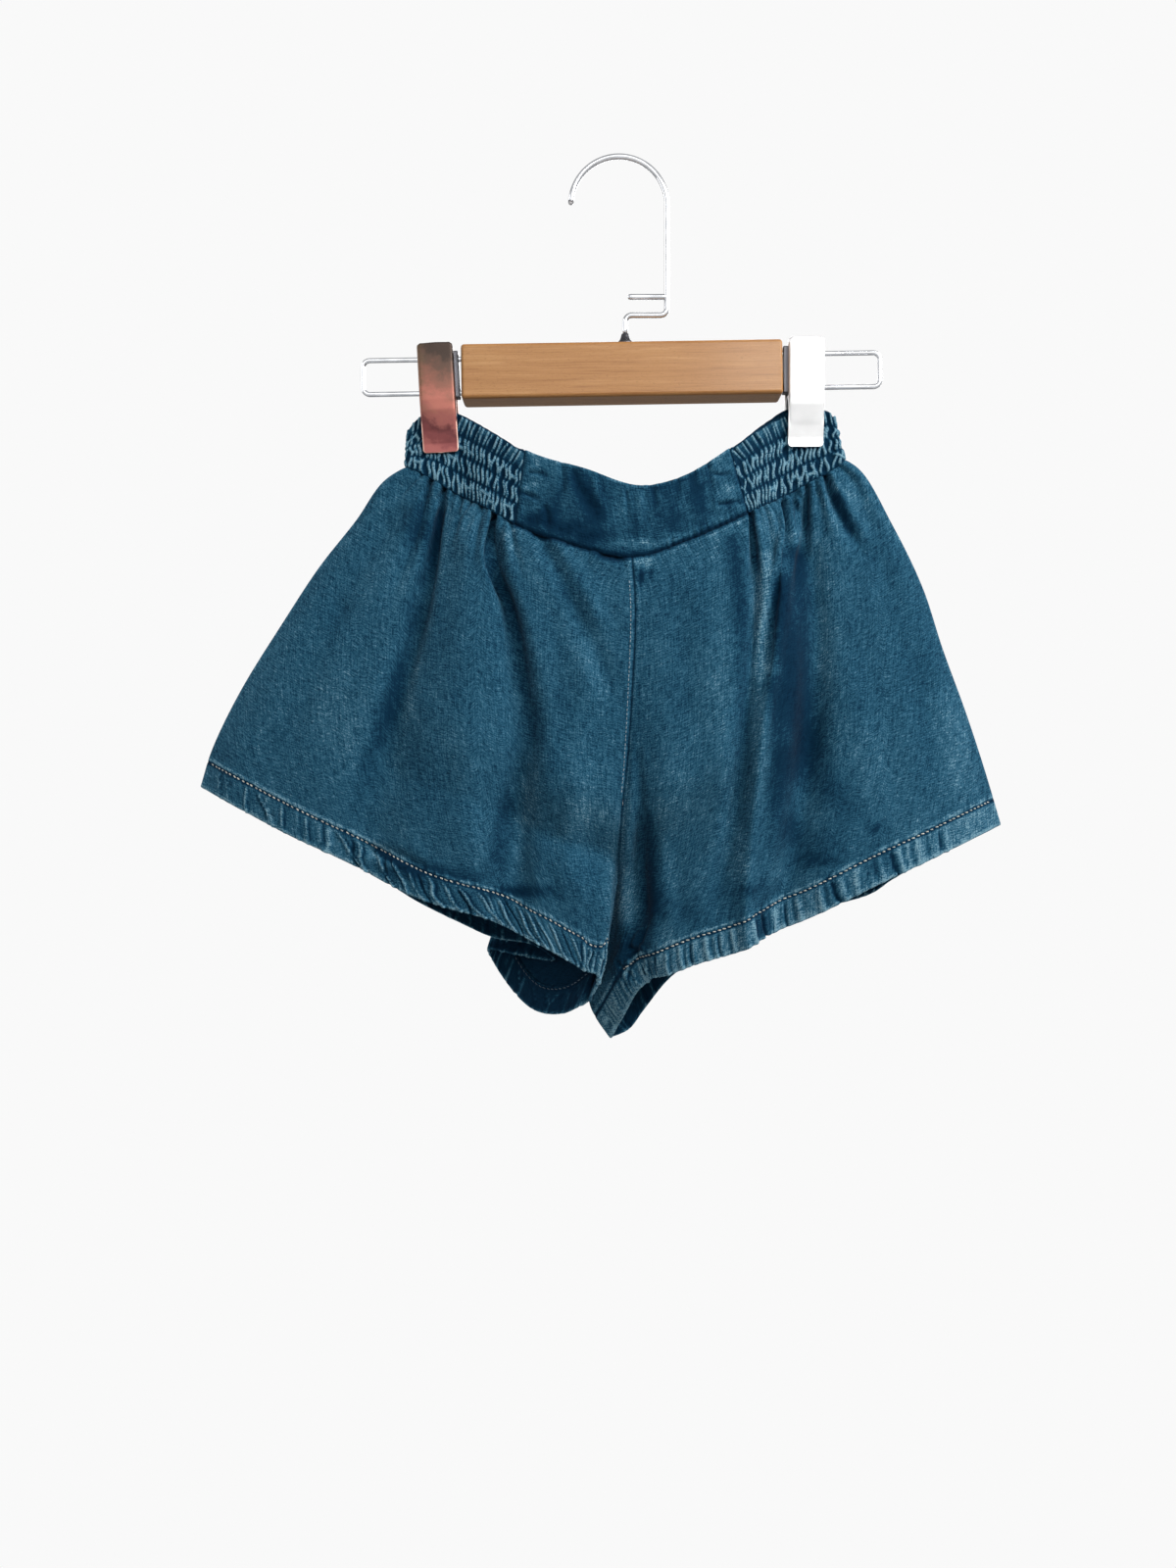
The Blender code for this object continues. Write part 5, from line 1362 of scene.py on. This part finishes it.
def rounded_path(corners, radius):
    """Points of a path through the corners, each inner corner rounded to the radius."""
    path = [Vector(corners[0])]
    for before, corner, after in zip(corners, corners[1:], corners[2:]):
        corner = Vector(corner)
        back = (Vector(before) - corner).normalized()
        on = (Vector(after) - corner).normalized()
        half = back.angle(on) / 2
        centre = corner + (back + on).normalized() * (radius / math.sin(half))
        first = corner + back * (radius / math.tan(half)) - centre
        last = corner + on * (radius / math.tan(half)) - centre
        sweep = math.pi - 2 * half
        for step in range(CORNER_STEPS + 1):
            part = sweep * step / CORNER_STEPS
            arm = first * math.sin(sweep - part) + last * math.sin(part)
            path.append(centre + arm / math.sin(sweep))
    path.append(Vector(corners[-1]))
    return path


def make_bar(wood, steel):
    """The wooden bar, bored at each end, and the wire loops that are pushed into the bores."""
    bar = add_box("beech_bar", (BAR_LENGTH, BAR_DEPTH, BAR_HEIGHT), 2.0, 5, wood)
    put(bar, BAR_CENTRE, BAR_TILT)
    bpy.context.view_layer.update()
    bores = []
    for side in (-1, 1):
        end = side * BAR_LENGTH / 2
        for height in (-WIRE_SPACING / 2, WIRE_SPACING / 2):
            start, stop = sorted((end - side * (WIRE_SOCKET + GAP), end + side * 5))
            bores.append((start, stop, height))
    bored(bar, WIRE_RADIUS + GAP, bores)
    stands_for(bar, "beech", "hanger_bar")
    for name, side in (("left", -1), ("right", 1)):
        inner = side * (BAR_LENGTH / 2 - WIRE_SOCKET)
        reach = side * WIRE_REACH
        corners = [
            (inner, 0, WIRE_SPACING / 2), (reach, 0, WIRE_SPACING / 2),
            (reach, 0, -WIRE_SPACING / 2), (inner, 0, -WIRE_SPACING / 2),
        ]
        path = rounded_path(corners, WIRE_CORNER)
        loop = add_tubes(f"wire_loop_{name}", [(path, WIRE_RADIUS, 20)], steel)
        put(loop, BAR_CENTRE, BAR_TILT)
        stands_for(loop, "plated_steel", f"end_loop_{name}")


def make_hook(steel, dark):
    """The crook, its shank, the jog below it with its stub, and the collar on the bar."""
    centre_z = HOOK_WIRE_RADIUS - CROOK_RADIUS
    bar_top = BAR_CENTRE[2] + BAR_HEIGHT / 2
    crook = []
    for step in range(CROOK_STEPS + 1):
        angle = math.pi * (1 - step / CROOK_STEPS)
        crook.append((CROOK_RADIUS * math.cos(angle), 0, centre_z + CROOK_RADIUS * math.sin(angle)))
    foot = bar_top + COLLAR[2] + 2 * GAP
    corners = [crook[-1], (CROOK_RADIUS, 0, JOG_Z), (JOG_X, 0, JOG_Z), (JOG_X, 0, foot)]
    path = crook[:-1] + [tuple(point) for point in rounded_path(corners, JOG_CORNER)]
    stub_from, stub_to = CROOK_RADIUS - 0.4, JOG_X + HOOK_WIRE_RADIUS
    stub = [(stub_from + (stub_to - stub_from) * k / 8, 0, STUB_Z) for k in range(9)]
    wire = add_tubes("hook", [(path, HOOK_WIRE_RADIUS, 24), (stub, HOOK_WIRE_RADIUS, 24)], steel)
    stands_for(wire, "plated_steel", "hook_wire")
    low, high, height = COLLAR
    base = bar_top + GAP
    profile = (
        (0.0, base), (low - 0.4, base), (low, base + 0.4), (low, base + 1.4),
        (low - 0.5, base + 1.9), (high + 0.9, base + 3.4), (high + 0.3, base + 5.2),
        (high, base + height - 0.4), (high - 0.4, base + height), (0.0, base + height),
    )
    stands_for(turned("collar", profile, JOG_X, 40, dark), "dark_steel", "hook_collar")


def turned(name, profile, x_middle, sides, material):
    """A solid of revolution about the vertical line at x_middle, from (radius, z) points."""
    angles = ring_angles(sides)
    points = []
    for radius, z in profile:
        radius = max(radius, 0.01)
        x, y = x_middle + radius * np.cos(angles), radius * np.sin(angles)
        points.append(np.stack([x, y, np.full(sides, z)], axis=1))
    quads = quads_between(0, sides, len(profile)) + end_quads(0, sides, len(profile))
    return add_mesh(name, np.concatenate(points), np.concatenate(quads), material)


def plate_middle(face):
    """Middle of a clip plate, its side flanges bent on an arc and its corners rounded."""
    top, foot = CLIP_HEIGHT * CLIP_ABOVE, -CLIP_HEIGHT * (1 - CLIP_ABOVE)
    sections = (
        (top, 8.6, CLIP_FLANGE), (-0.26 * CLIP_HEIGHT, 8.6, CLIP_FLANGE),
        (-0.36 * CLIP_HEIGHT, 8.0, 2.0), (foot + 12.0, JAW_REACH + 1.2, 0.0),
        (foot + 5.0, JAW_REACH, 0.0), (foot, JAW_REACH, 0.0),
    )
    heights, reaches, flanges = (np.array(column) for column in zip(*sections))
    half = CLIP_WIDTH / 2 - CLIP_SHEET / 2
    tip = foot + 2.2 * (1 - np.sin(np.linspace(0.1, math.pi / 2, 9)))
    levels = np.concatenate([np.linspace(top, foot + 2.2, 84), tip])
    straight = np.linspace(0, 1, 5)[:-1]
    turn = np.linspace(0, math.pi / 2, 9)
    rows = []
    for level in levels:
        reach = np.interp(-level, -heights, reaches)
        flange = np.interp(-level, -heights, flanges)
        corner = min(CLIP_CORNER, flange)
        spread = CLIP_CORNER - corner
        bend = (CLIP_CORNER + 0.3 * spread) * (1 - np.cos(turn))
        inset = np.concatenate([0.7 * spread * straight, 0.7 * spread + bend])
        drop = np.concatenate([flange - (flange - corner) * straight, corner * (1 - np.sin(turn))])
        low = np.clip((foot + CLIP_TIP - level) / CLIP_TIP, 0, 1)
        high = np.clip((level - top + CLIP_BROW) / CLIP_BROW, 0, 1)
        narrow = CLIP_TIP * (1 - math.sqrt(1 - low**2)) + CLIP_BROW * (1 - math.sqrt(1 - high**2))
        left = inset - half
        flat = np.linspace(left[-1], -left[-1], 20)[1:-1]
        x = np.concatenate([left, flat, -left[::-1]]) * (half - narrow) / half
        depth = reach - np.concatenate([drop, np.zeros(18), drop[::-1]])
        bow = 0.35 * (1 - (x / half) ** 2) * (1 if flange > 0.5 else flange / 0.5)
        rows.append(np.stack([x, face * (depth + bow), np.full(len(x), level)], axis=1))
    return np.array(rows)


def make_clip(name, x, z, lean, plate, steel, dark):
    """One clip: two bent plates either side of a slider, and the spring that holds them apart."""
    turn = math.radians(lean)
    slider = add_box(f"slider_{name}", SLIDER_SIZE, 1.0, 4, dark)
    put(slider, (x, 0.0, z), turn)
    # The dark neck towards the bar stands partly for the shadow between the clip and the bar's end.
    neck_and_shadow = add_box(f"neck_{name}", SLIDER_NECK_AND_SHADOW, 0.6, 3, dark)
    shift = math.copysign(NECK_PLACE, -x)
    put(neck_and_shadow, (x + shift * math.cos(turn), 0.0, z - shift * math.sin(turn)), turn)
    bpy.context.view_layer.update()
    shaped_by(slider, neck_and_shadow, "UNION")
    reach = SLIDER_SIZE[0]
    bores = [(-reach, reach, height) for height in (-WIRE_SPACING / 2, WIRE_SPACING / 2)]
    bored(slider, WIRE_RADIUS + 2 * GAP, bores)
    stands_for(slider, "dark_steel", f"clip_{name}_slider")
    for label, face in (("front", -1), ("back", 1)):
        points = plate_middle(face)
        outward = facing(points, (0, face, 0))[1]
        across, down = lengths_along(points, 1), lengths_along(points, 0)
        # The plates' rims get a painted highlight.
        rim = np.zeros(across.shape)
        rim[-1] = rim[:, 0] = rim[:, -1] = 1.0
        item = shell(
            f"plate_{name}_{label}", points, CLIP_SHEET / 2, outward, plate, (across, down), rim,
            rim=5, inner_painted_shade=0.0,
        )
        put(item, (x, 0.0, z), turn)
        # The right plates' near-white colour is painted glare.
        slot = "copper_plate" if name == "left" else "plated_steel"
        stands_for(item, slot, f"clip_{name}_{label}")
    coil = []
    steps = COIL_TURNS * TURN_STEPS
    for step in range(steps + 1):
        angle = 2 * math.pi * COIL_TURNS * step / steps
        y, up = COIL_RADIUS * math.cos(angle), COIL_RADIUS * math.sin(angle)
        coil.append((COIL_REACH * (2 * step / steps - 1), y, COIL_Z + up))
    runs = [(coil, 0.55, 10)]
    for side in (-1, 1):
        away = side * (COIL_REACH + 0.2)
        arm = [
            (side * COIL_REACH, COIL_RADIUS, COIL_Z), (away, 5.2, COIL_Z + 3.0),
            (away, 6.6, COIL_Z + 5.3),
        ]
        runs.append((arm, 0.5, 10))
    spring = add_tubes(f"spring_{name}", runs, steel)
    put(spring, (x, 0.0, z), turn)
    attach(spring, "root")


# ------------------------------------------------------------ materials


def srgb(red, green, blue):
    """A linear colour from 0-255 sRGB values."""
    values = [value / 255 for value in (red, green, blue)]
    return (*(v / 12.92 if v < 0.04045 else ((v + 0.055) / 1.055) ** 2.4 for v in values), 1.0)


def feed(links, socket, value):
    """Links another socket to this one, or gives it a value."""
    if isinstance(value, bpy.types.NodeSocket):
        links.new(value, socket)
    else:
        socket.default_value = value


class Shader:
    """A material's nodes, added one at a time."""

    def __init__(self, name, roughness, metallic=0.0):
        self.material = bpy.data.materials.new(name)
        self.material.use_nodes = True
        self.nodes = self.material.node_tree.nodes
        self.links = self.material.node_tree.links
        self.surface = self.nodes["Principled BSDF"]
        self.surface.inputs["Roughness"].default_value = roughness
        self.surface.inputs["Metallic"].default_value = metallic

    def add(self, kind, inputs=None, out=0, **settings):
        """A node with its inputs set to values or linked to sockets. Returns its output socket."""
        made = self.nodes.new("ShaderNode" + kind)
        for name, value in settings.items():
            setattr(made, name, value)
        for name, value in (inputs or {}).items():
            feed(self.links, made.inputs[name], value)
        return made.outputs[out]

    def parts(self, place):
        """The x, y and z of a place."""
        return self.add("SeparateXYZ", {0: place}).node.outputs

    def math(self, operation, first, second=0.0, third=0.0):
        """One operation on up to three values or sockets."""
        return self.add("Math", {0: first, 1: second, 2: third}, operation=operation)

    def times(self, first, second):
        """Product of two values or sockets."""
        return self.math("MULTIPLY", first, second)

    def plus(self, *terms):
        """Sum of terms, each a value, a socket or a (socket, factor) pair."""
        total = 0.0
        for term in terms:
            if isinstance(term, tuple):
                total = self.math("MULTIPLY_ADD", term[0], term[1], total)
            else:
                total = self.math("ADD", total, term)
        return total

    def stretched(self, place, across, down, along=1.0, detail=2.0, roughness=0.5):
        """Noise whose bumps have the given sizes in the place's own units."""
        scale = (1 / across, 1 / down, 1 / along)
        moved = self.add("Mapping", {"Vector": place, "Scale": scale})
        return self.add("TexNoise", {
            "Vector": moved, "Scale": 1.0, "Detail": detail, "Roughness": roughness,
        })

    def hump(self, value, width):
        """A smooth hump, 1 where the value is 0, dying away over the width."""
        share = self.math("DIVIDE", value, width)
        return self.math("EXPONENT", self.times(self.times(share, share), -1.0))

    def ramp(self, value, *stops):
        """Colours by value, from (value, colour) stops."""
        made = self.nodes.new("ShaderNodeValToRGB")
        made.color_ramp.interpolation = "EASE"
        while len(made.color_ramp.elements) < len(stops):
            made.color_ramp.elements.new(0.5)
        for element, (place, colour) in zip(made.color_ramp.elements, stops):
            element.position = place
            element.color = colour
        self.links.new(value, made.inputs[0])
        return made.outputs[0]

    def mix(self, share, first, second, kind="MIX"):
        """The first colour, blended towards the second by the share."""
        made = self.nodes.new("ShaderNodeMix")
        made.data_type, made.blend_type = "RGBA", kind
        for index, value in ((0, share), (6, first), (7, second)):
            feed(self.links, made.inputs[index], value)
        return made.outputs[2]

    def give(self, **inputs):
        """Links sockets to the surface's inputs, or sets them. Underscores stand for spaces."""
        for name, value in inputs.items():
            feed(self.links, self.surface.inputs[name.replace("_", " ")], value)

    def bumped(self, height, distance, strength):
        """Bumps of the surface, their distance in millimetres."""
        settings = {"Height": height, "Distance": distance * MM, "Strength": strength}
        self.give(Normal=self.add("Bump", settings))


def chambray_material():
    """Woven cotton: pale weft over indigo warp with slubs both ways, worn pale on its ridges, with
    light and shade painted in from the attribute.
    """
    look = Shader("chambray", 0.88)
    cloth = look.add("UVMap", uv_map="cloth")
    # The attribute holds wear and painted light and shade.
    wear_and_painted_shading = look.add("Attribute", attribute_name="wear_and_painted_shading", out=2)
    warp = look.stretched(cloth, 0.85, 12.0, detail=1.5)
    weft = look.stretched(cloth, 6.0, 0.6, detail=1.5)
    grain = look.stretched(cloth, 1.0, 0.9, detail=3.0, roughness=0.65)
    mottle = look.stretched(cloth, 2.4, 4.0, detail=2.0)
    blotch = look.stretched(cloth, 9.0, 16.0, detail=2.0)
    drift = look.stretched(cloth, 70.0, 80.0, detail=1.0)
    across, down, _ = look.parts(cloth)
    weave = look.times(
        look.math("SINE", look.times(across, 2 * math.pi / THREAD_PITCH)),
        look.math("SINE", look.times(down, 2 * math.pi / THREAD_PITCH)),
    )
    broken = look.plus((grain, 1.1), (warp, 0.5), (weft, 0.5), -0.55)
    shade = look.plus(
        (warp, 0.42), (weft, 0.62), (grain, 0.9), (mottle, 0.25), (blotch, 0.12), (drift, 0.14),
        (weave, 0.02), (look.times(wear_and_painted_shading, broken), 0.52), -0.675,
    )
    colour = look.ramp(
        shade,
        (0.10, srgb(1, 31, 54)), (0.36, srgb(15, 52, 76)), (0.52, srgb(38, 83, 107)),
        (0.68, srgb(61, 110, 135)), (0.95, srgb(134, 170, 186)),
    )
    teal = look.stretched(cloth, 45.0, 60.0, 3.0, detail=1.0)
    colour = look.mix(look.times(teal, 0.5), colour, srgb(70, 125, 135), "SOFT_LIGHT")
    look.give(Base_Color=colour, Sheen_Weight=0.03, Sheen_Roughness=0.5, Specular_IOR_Level=0.03)
    look.bumped(look.plus((warp, 0.5), (weft, 0.5), (grain, 0.6), (weave, 0.25)), 0.16, 0.8)
    return look.material


def thread_material(name, first, second):
    """Twisted cotton thread, mottled between two tones."""
    look = Shader(name, 0.75)
    place = look.add("TexCoord", out=3)
    noise = look.stretched(place, 1.6 * MM, 1.6 * MM, 1.6 * MM, detail=2.0)
    colour = look.ramp(noise, (0.35, srgb(*first)), (0.65, srgb(*second)))
    look.give(Base_Color=colour, Sheen_Weight=0.2)
    return look.material


def wood_material():
    """Beech along X: nearly straight grain, fine dark lines, short flecks and satin lacquer."""
    look = Shader("beech", 0.42)
    place = look.add("TexCoord", out=3)
    bend = look.stretched(place, 120 * MM, 20 * MM, 20 * MM, detail=2.0)
    height = look.parts(place)[2]
    rings = look.math("MULTIPLY_ADD", height, 650.0, look.times(bend, 7.0))
    lines = look.math("POWER", look.math("ABSOLUTE", look.math("SINE", rings)), 0.5)
    fine = look.stretched(place, 20 * MM, 0.4 * MM, 0.4 * MM, detail=3.0)
    broad = look.stretched(place, 60 * MM, 6 * MM, 6 * MM, detail=1.0)
    flecks = look.stretched(place, 2.4 * MM, 0.32 * MM, 0.3 * MM, detail=1.0)
    shade = look.plus((lines, 0.13), (fine, 0.6), (broad, 0.4), -0.09)
    colour = look.ramp(
        shade, (0.25, srgb(150, 98, 48)), (0.5, srgb(176, 124, 70)), (0.78, srgb(194, 146, 92)),
    )
    fleck = look.times(look.math("GREATER_THAN", flecks, 0.64), 0.4)
    colour = look.mix(fleck, colour, srgb(132, 82, 40))
    look.give(
        Base_Color=colour, Roughness=look.plus((fine, 0.2), 0.32), Coat_Weight=0.2,
        Coat_Roughness=0.2, Specular_IOR_Level=0.3,
    )
    look.bumped(look.plus((fine, 0.5), (fleck, -0.6)), 0.12, 0.6)
    return look.material


def steel_material(name, tone, roughness, metallic=1.0):
    """Plated steel, its tone and gloss faintly smeared."""
    look = Shader(name, roughness, metallic)
    place = look.add("TexCoord", out=3)
    smear = look.stretched(place, 9 * MM, 9 * MM, 9 * MM, detail=3.0)
    fine = look.stretched(place, 0.4 * MM, 0.4 * MM, 5 * MM, detail=2.0)
    low = [value * (0.86 if metallic == 1.0 else 0.97) for value in tone]
    look.give(
        Base_Color=look.ramp(smear, (0.3, srgb(*low)), (0.7, srgb(*tone))),
        Roughness=look.plus((smear, 0.12), (fine, 0.06), roughness - 0.09),
    )
    look.bumped(fine, 0.03, 0.4)
    return look.material


def copper_material():
    """Rose copper plating, with painted reflections: a dark brown one at the top and at the left,
    bands that cross the plate, and a pale painted highlight on its rim.
    """
    look = Shader("rose_copper", 0.45, 0.75)
    cloth = look.add("UVMap", uv_map="cloth")
    rim = look.add("Attribute", attribute_name="wear_and_painted_shading", out=2)
    across, down, _ = look.parts(cloth)
    cloud = look.stretched(cloth, 7.0, 6.0, detail=4.0, roughness=0.6)
    # Bands of painted reflection across the plate.
    band = look.plus((down, 1 / CLIP_HEIGHT), (across, -0.008), (cloud, 0.42), -0.16)
    colour = look.ramp(
        band, (0.0, srgb(58, 47, 41)), (0.10, srgb(82, 63, 54)), (0.28, srgb(118, 80, 68)),
        (0.50, srgb(158, 98, 86)), (0.66, srgb(148, 88, 82)), (0.76, srgb(102, 55, 56)),
        (0.86, srgb(116, 62, 62)), (0.97, srgb(138, 80, 76)),
    )
    # A dark brown painted reflection at the top left.
    left = look.hump(look.math("MAXIMUM", look.plus((cloud, 9.0), across, -7.5), 0.0), 4.0)
    high = look.hump(look.math("MAXIMUM", look.plus(down, (cloud, 8.0), -38.0), 0.0), 6.0)
    dark_reflection = look.times(look.times(left, high), 0.55)
    colour = look.mix(dark_reflection, colour, srgb(98, 79, 58))
    # A pale painted highlight along the rim.
    colour = look.mix(rim, colour, srgb(214, 172, 156))
    slanted = look.add("Mapping", {"Vector": cloth, "Rotation": (0.0, 0.0, 0.5)})
    scratch = look.stretched(slanted, 0.25, 14.0, detail=3.0, roughness=0.6)
    look.give(Base_Color=colour, Roughness=look.plus((cloud, 0.25), (scratch, 0.15), 0.24))
    look.bumped(scratch, 0.05, 0.4)
    return look.material


def plain_material(name, colour, roughness):
    """One colour all over."""
    look = Shader(name, roughness)
    look.give(Base_Color=srgb(*colour))
    return look.material


# ------------------------------------------------------------ stage


def make_stage():
    """A plain pale floor below the shorts."""
    edges = (-FLOOR_HALF, FLOOR_HALF)
    points = np.array([[x, y, FLOOR_Z] for y in edges for x in edges])
    floor = plain_material("studio_white", (246, 246, 245), 0.9)
    item = add_mesh("studio_floor", points, np.array([[0, 1, 3, 2]]), floor)
    item.visible_glossy = False


def add_area(name, place, size, power):
    """A rectangular soft light of (width, height) in metres, aimed at the middle of the shorts."""
    light = bpy.data.lights.new(name, "AREA")
    light.shape, light.energy = "RECTANGLE", power
    light.size, light.size_y = size
    item = linked(name, light)
    item.location = place
    way = Vector((0.0, 0.0, -0.30)) - Vector(place)
    item.rotation_euler = way.to_track_quat("-Z", "Y").to_euler()
    item.visible_camera = False


def make_world():
    """A world that is plain white to the eye and weak on the cloth.

    Metal mirrors a bright room in front of the shorts that darkens to the sides and behind.
    """
    world = bpy.data.worlds.new("studio")
    bpy.context.scene.world = world
    world.use_nodes = True
    nodes, links = world.node_tree.nodes, world.node_tree.links
    rays = nodes.new("ShaderNodeLightPath")
    split = nodes.new("ShaderNodeSeparateXYZ")
    links.new(nodes.new("ShaderNodeTexCoord").outputs["Generated"], split.inputs[0])
    room = nodes.new("ShaderNodeMapRange")
    for name, value in (("From Min", -0.9), ("From Max", 0.4), ("To Min", 0.95), ("To Max", 0.34)):
        room.inputs[name].default_value = value
    links.new(split.outputs[1], room.inputs["Value"])
    level = 0.16
    for ray, brightness in (("Is Glossy Ray", room.outputs[0]), ("Is Camera Ray", 0.948)):
        mixed = nodes.new("ShaderNodeMix")
        for index, value in ((0, rays.outputs[ray]), (2, level), (3, brightness)):
            feed(links, mixed.inputs[index], value)
        level = mixed.outputs[0]
    links.new(level, nodes["Background"].inputs["Strength"])
    nodes["Background"].inputs["Color"].default_value = (1.0, 1.0, 1.0, 1.0)


def make_lights():
    """A soft light from the upper right, and soft cards in front, at the left and behind."""
    add_area("key", (1.05, -0.78, 0.60), (0.85, 0.85), 24.0)
    add_area("front_card", (0.0, -1.25, 0.30), (1.3, 0.5), 4.6)
    add_area("side_card", (-1.25, 0.10, 0.2), (0.8, 1.2), 7.5)
    add_area("glare_card", (0.29, -1.20, 0.33), (0.16, 0.16), 1.8)
    add_area("back_card", (0.5, 1.25, 0.45), (1.2, 0.6), 12.0)


def make_camera():
    """A level camera before the middle of the shorts, and its plain colour transform."""
    camera = bpy.data.cameras.new("camera")
    camera.lens, camera.sensor_width = 26.0, 36.0
    item = linked("camera", camera)
    item.location = (-0.0179, -0.655, -0.3613)
    item.rotation_euler = (math.pi / 2, 0.0, 0.0)
    bpy.context.scene.camera = item
    bpy.context.scene.view_settings.view_transform = "Standard"


# ------------------------------------------------------------ the whole


def stretch(line, first, last):
    """The stretch of a line's points and normals from one column to another."""
    return [part[first:last] for part in line]


def main():
    """Makes every piece of cloth, the stitches, the hanger and the stage."""
    cloth = chambray_material()
    thread = thread_material("tan_thread", (164, 170, 166), (224, 225, 214))
    # A darker thread for the stitches inside the hem, as painted shade inside the legs.
    painted_shade_thread = thread_material("painted_shade_thread", (44, 66, 84), (78, 100, 116))
    pale_thread = thread_material("pale_blue_thread", (140, 160, 168), (182, 196, 200))
    steel = steel_material("bright_steel", (226, 228, 232), 0.16)
    # The right clip's plates are the same plating as the left's, made near-white as painted glare
    # from a bright light.
    glare_white_plate = steel_material("glare_white_plate", (250, 250, 250), 0.22, 0.45)
    dark = steel_material("dark_steel", (84, 84, 88), 0.34)
    lines = {}
    for order, (name, panel) in enumerate(PANELS.items()):
        item, lines[name] = make_leg(name, panel, cloth, 100 * order + 7)
    hem_lines = [stretch(lines[name]["hem"], 3, PANELS[name]["stitched_to"]) for name in PANELS]
    inside_lines = [stretch(lines[name]["inside"], 3, -4) for name in PANELS]
    seam, normals = lines["front_leg_left"]["seam"]
    held = (seam[:, 2] < SEAM_STITCHES[0]) & (seam[:, 2] > SEAM_STITCHES[1])
    for label, rows, sizes, material, tilt in (
        ("hem_stitches", hem_lines, (3.1, 2.2, 0.38), thread, 17.0),
        ("hem_inside_stitches", inside_lines, (3.0, 2.2, 0.27), painted_shade_thread, 10.0),
        ("centre_seam_stitches", [(seam[held], normals[held])], (2.4, 1.6, 0.17), pale_thread, 0.0),
    ):
        stitches(label, rows, *sizes, material, len(label), tilt)
    band = make_elastic(cloth)
    yoke = make_yoke(cloth)
    make_bar(wood_material(), steel)
    make_hook(steel, dark)
    for (name, x, z, lean), plate in zip(CLIPS, (copper_material(), glare_white_plate)):
        make_clip(name, x, z, lean, plate, steel, dark)
    make_stage()
    make_world()
    make_lights()
    make_camera()


main()
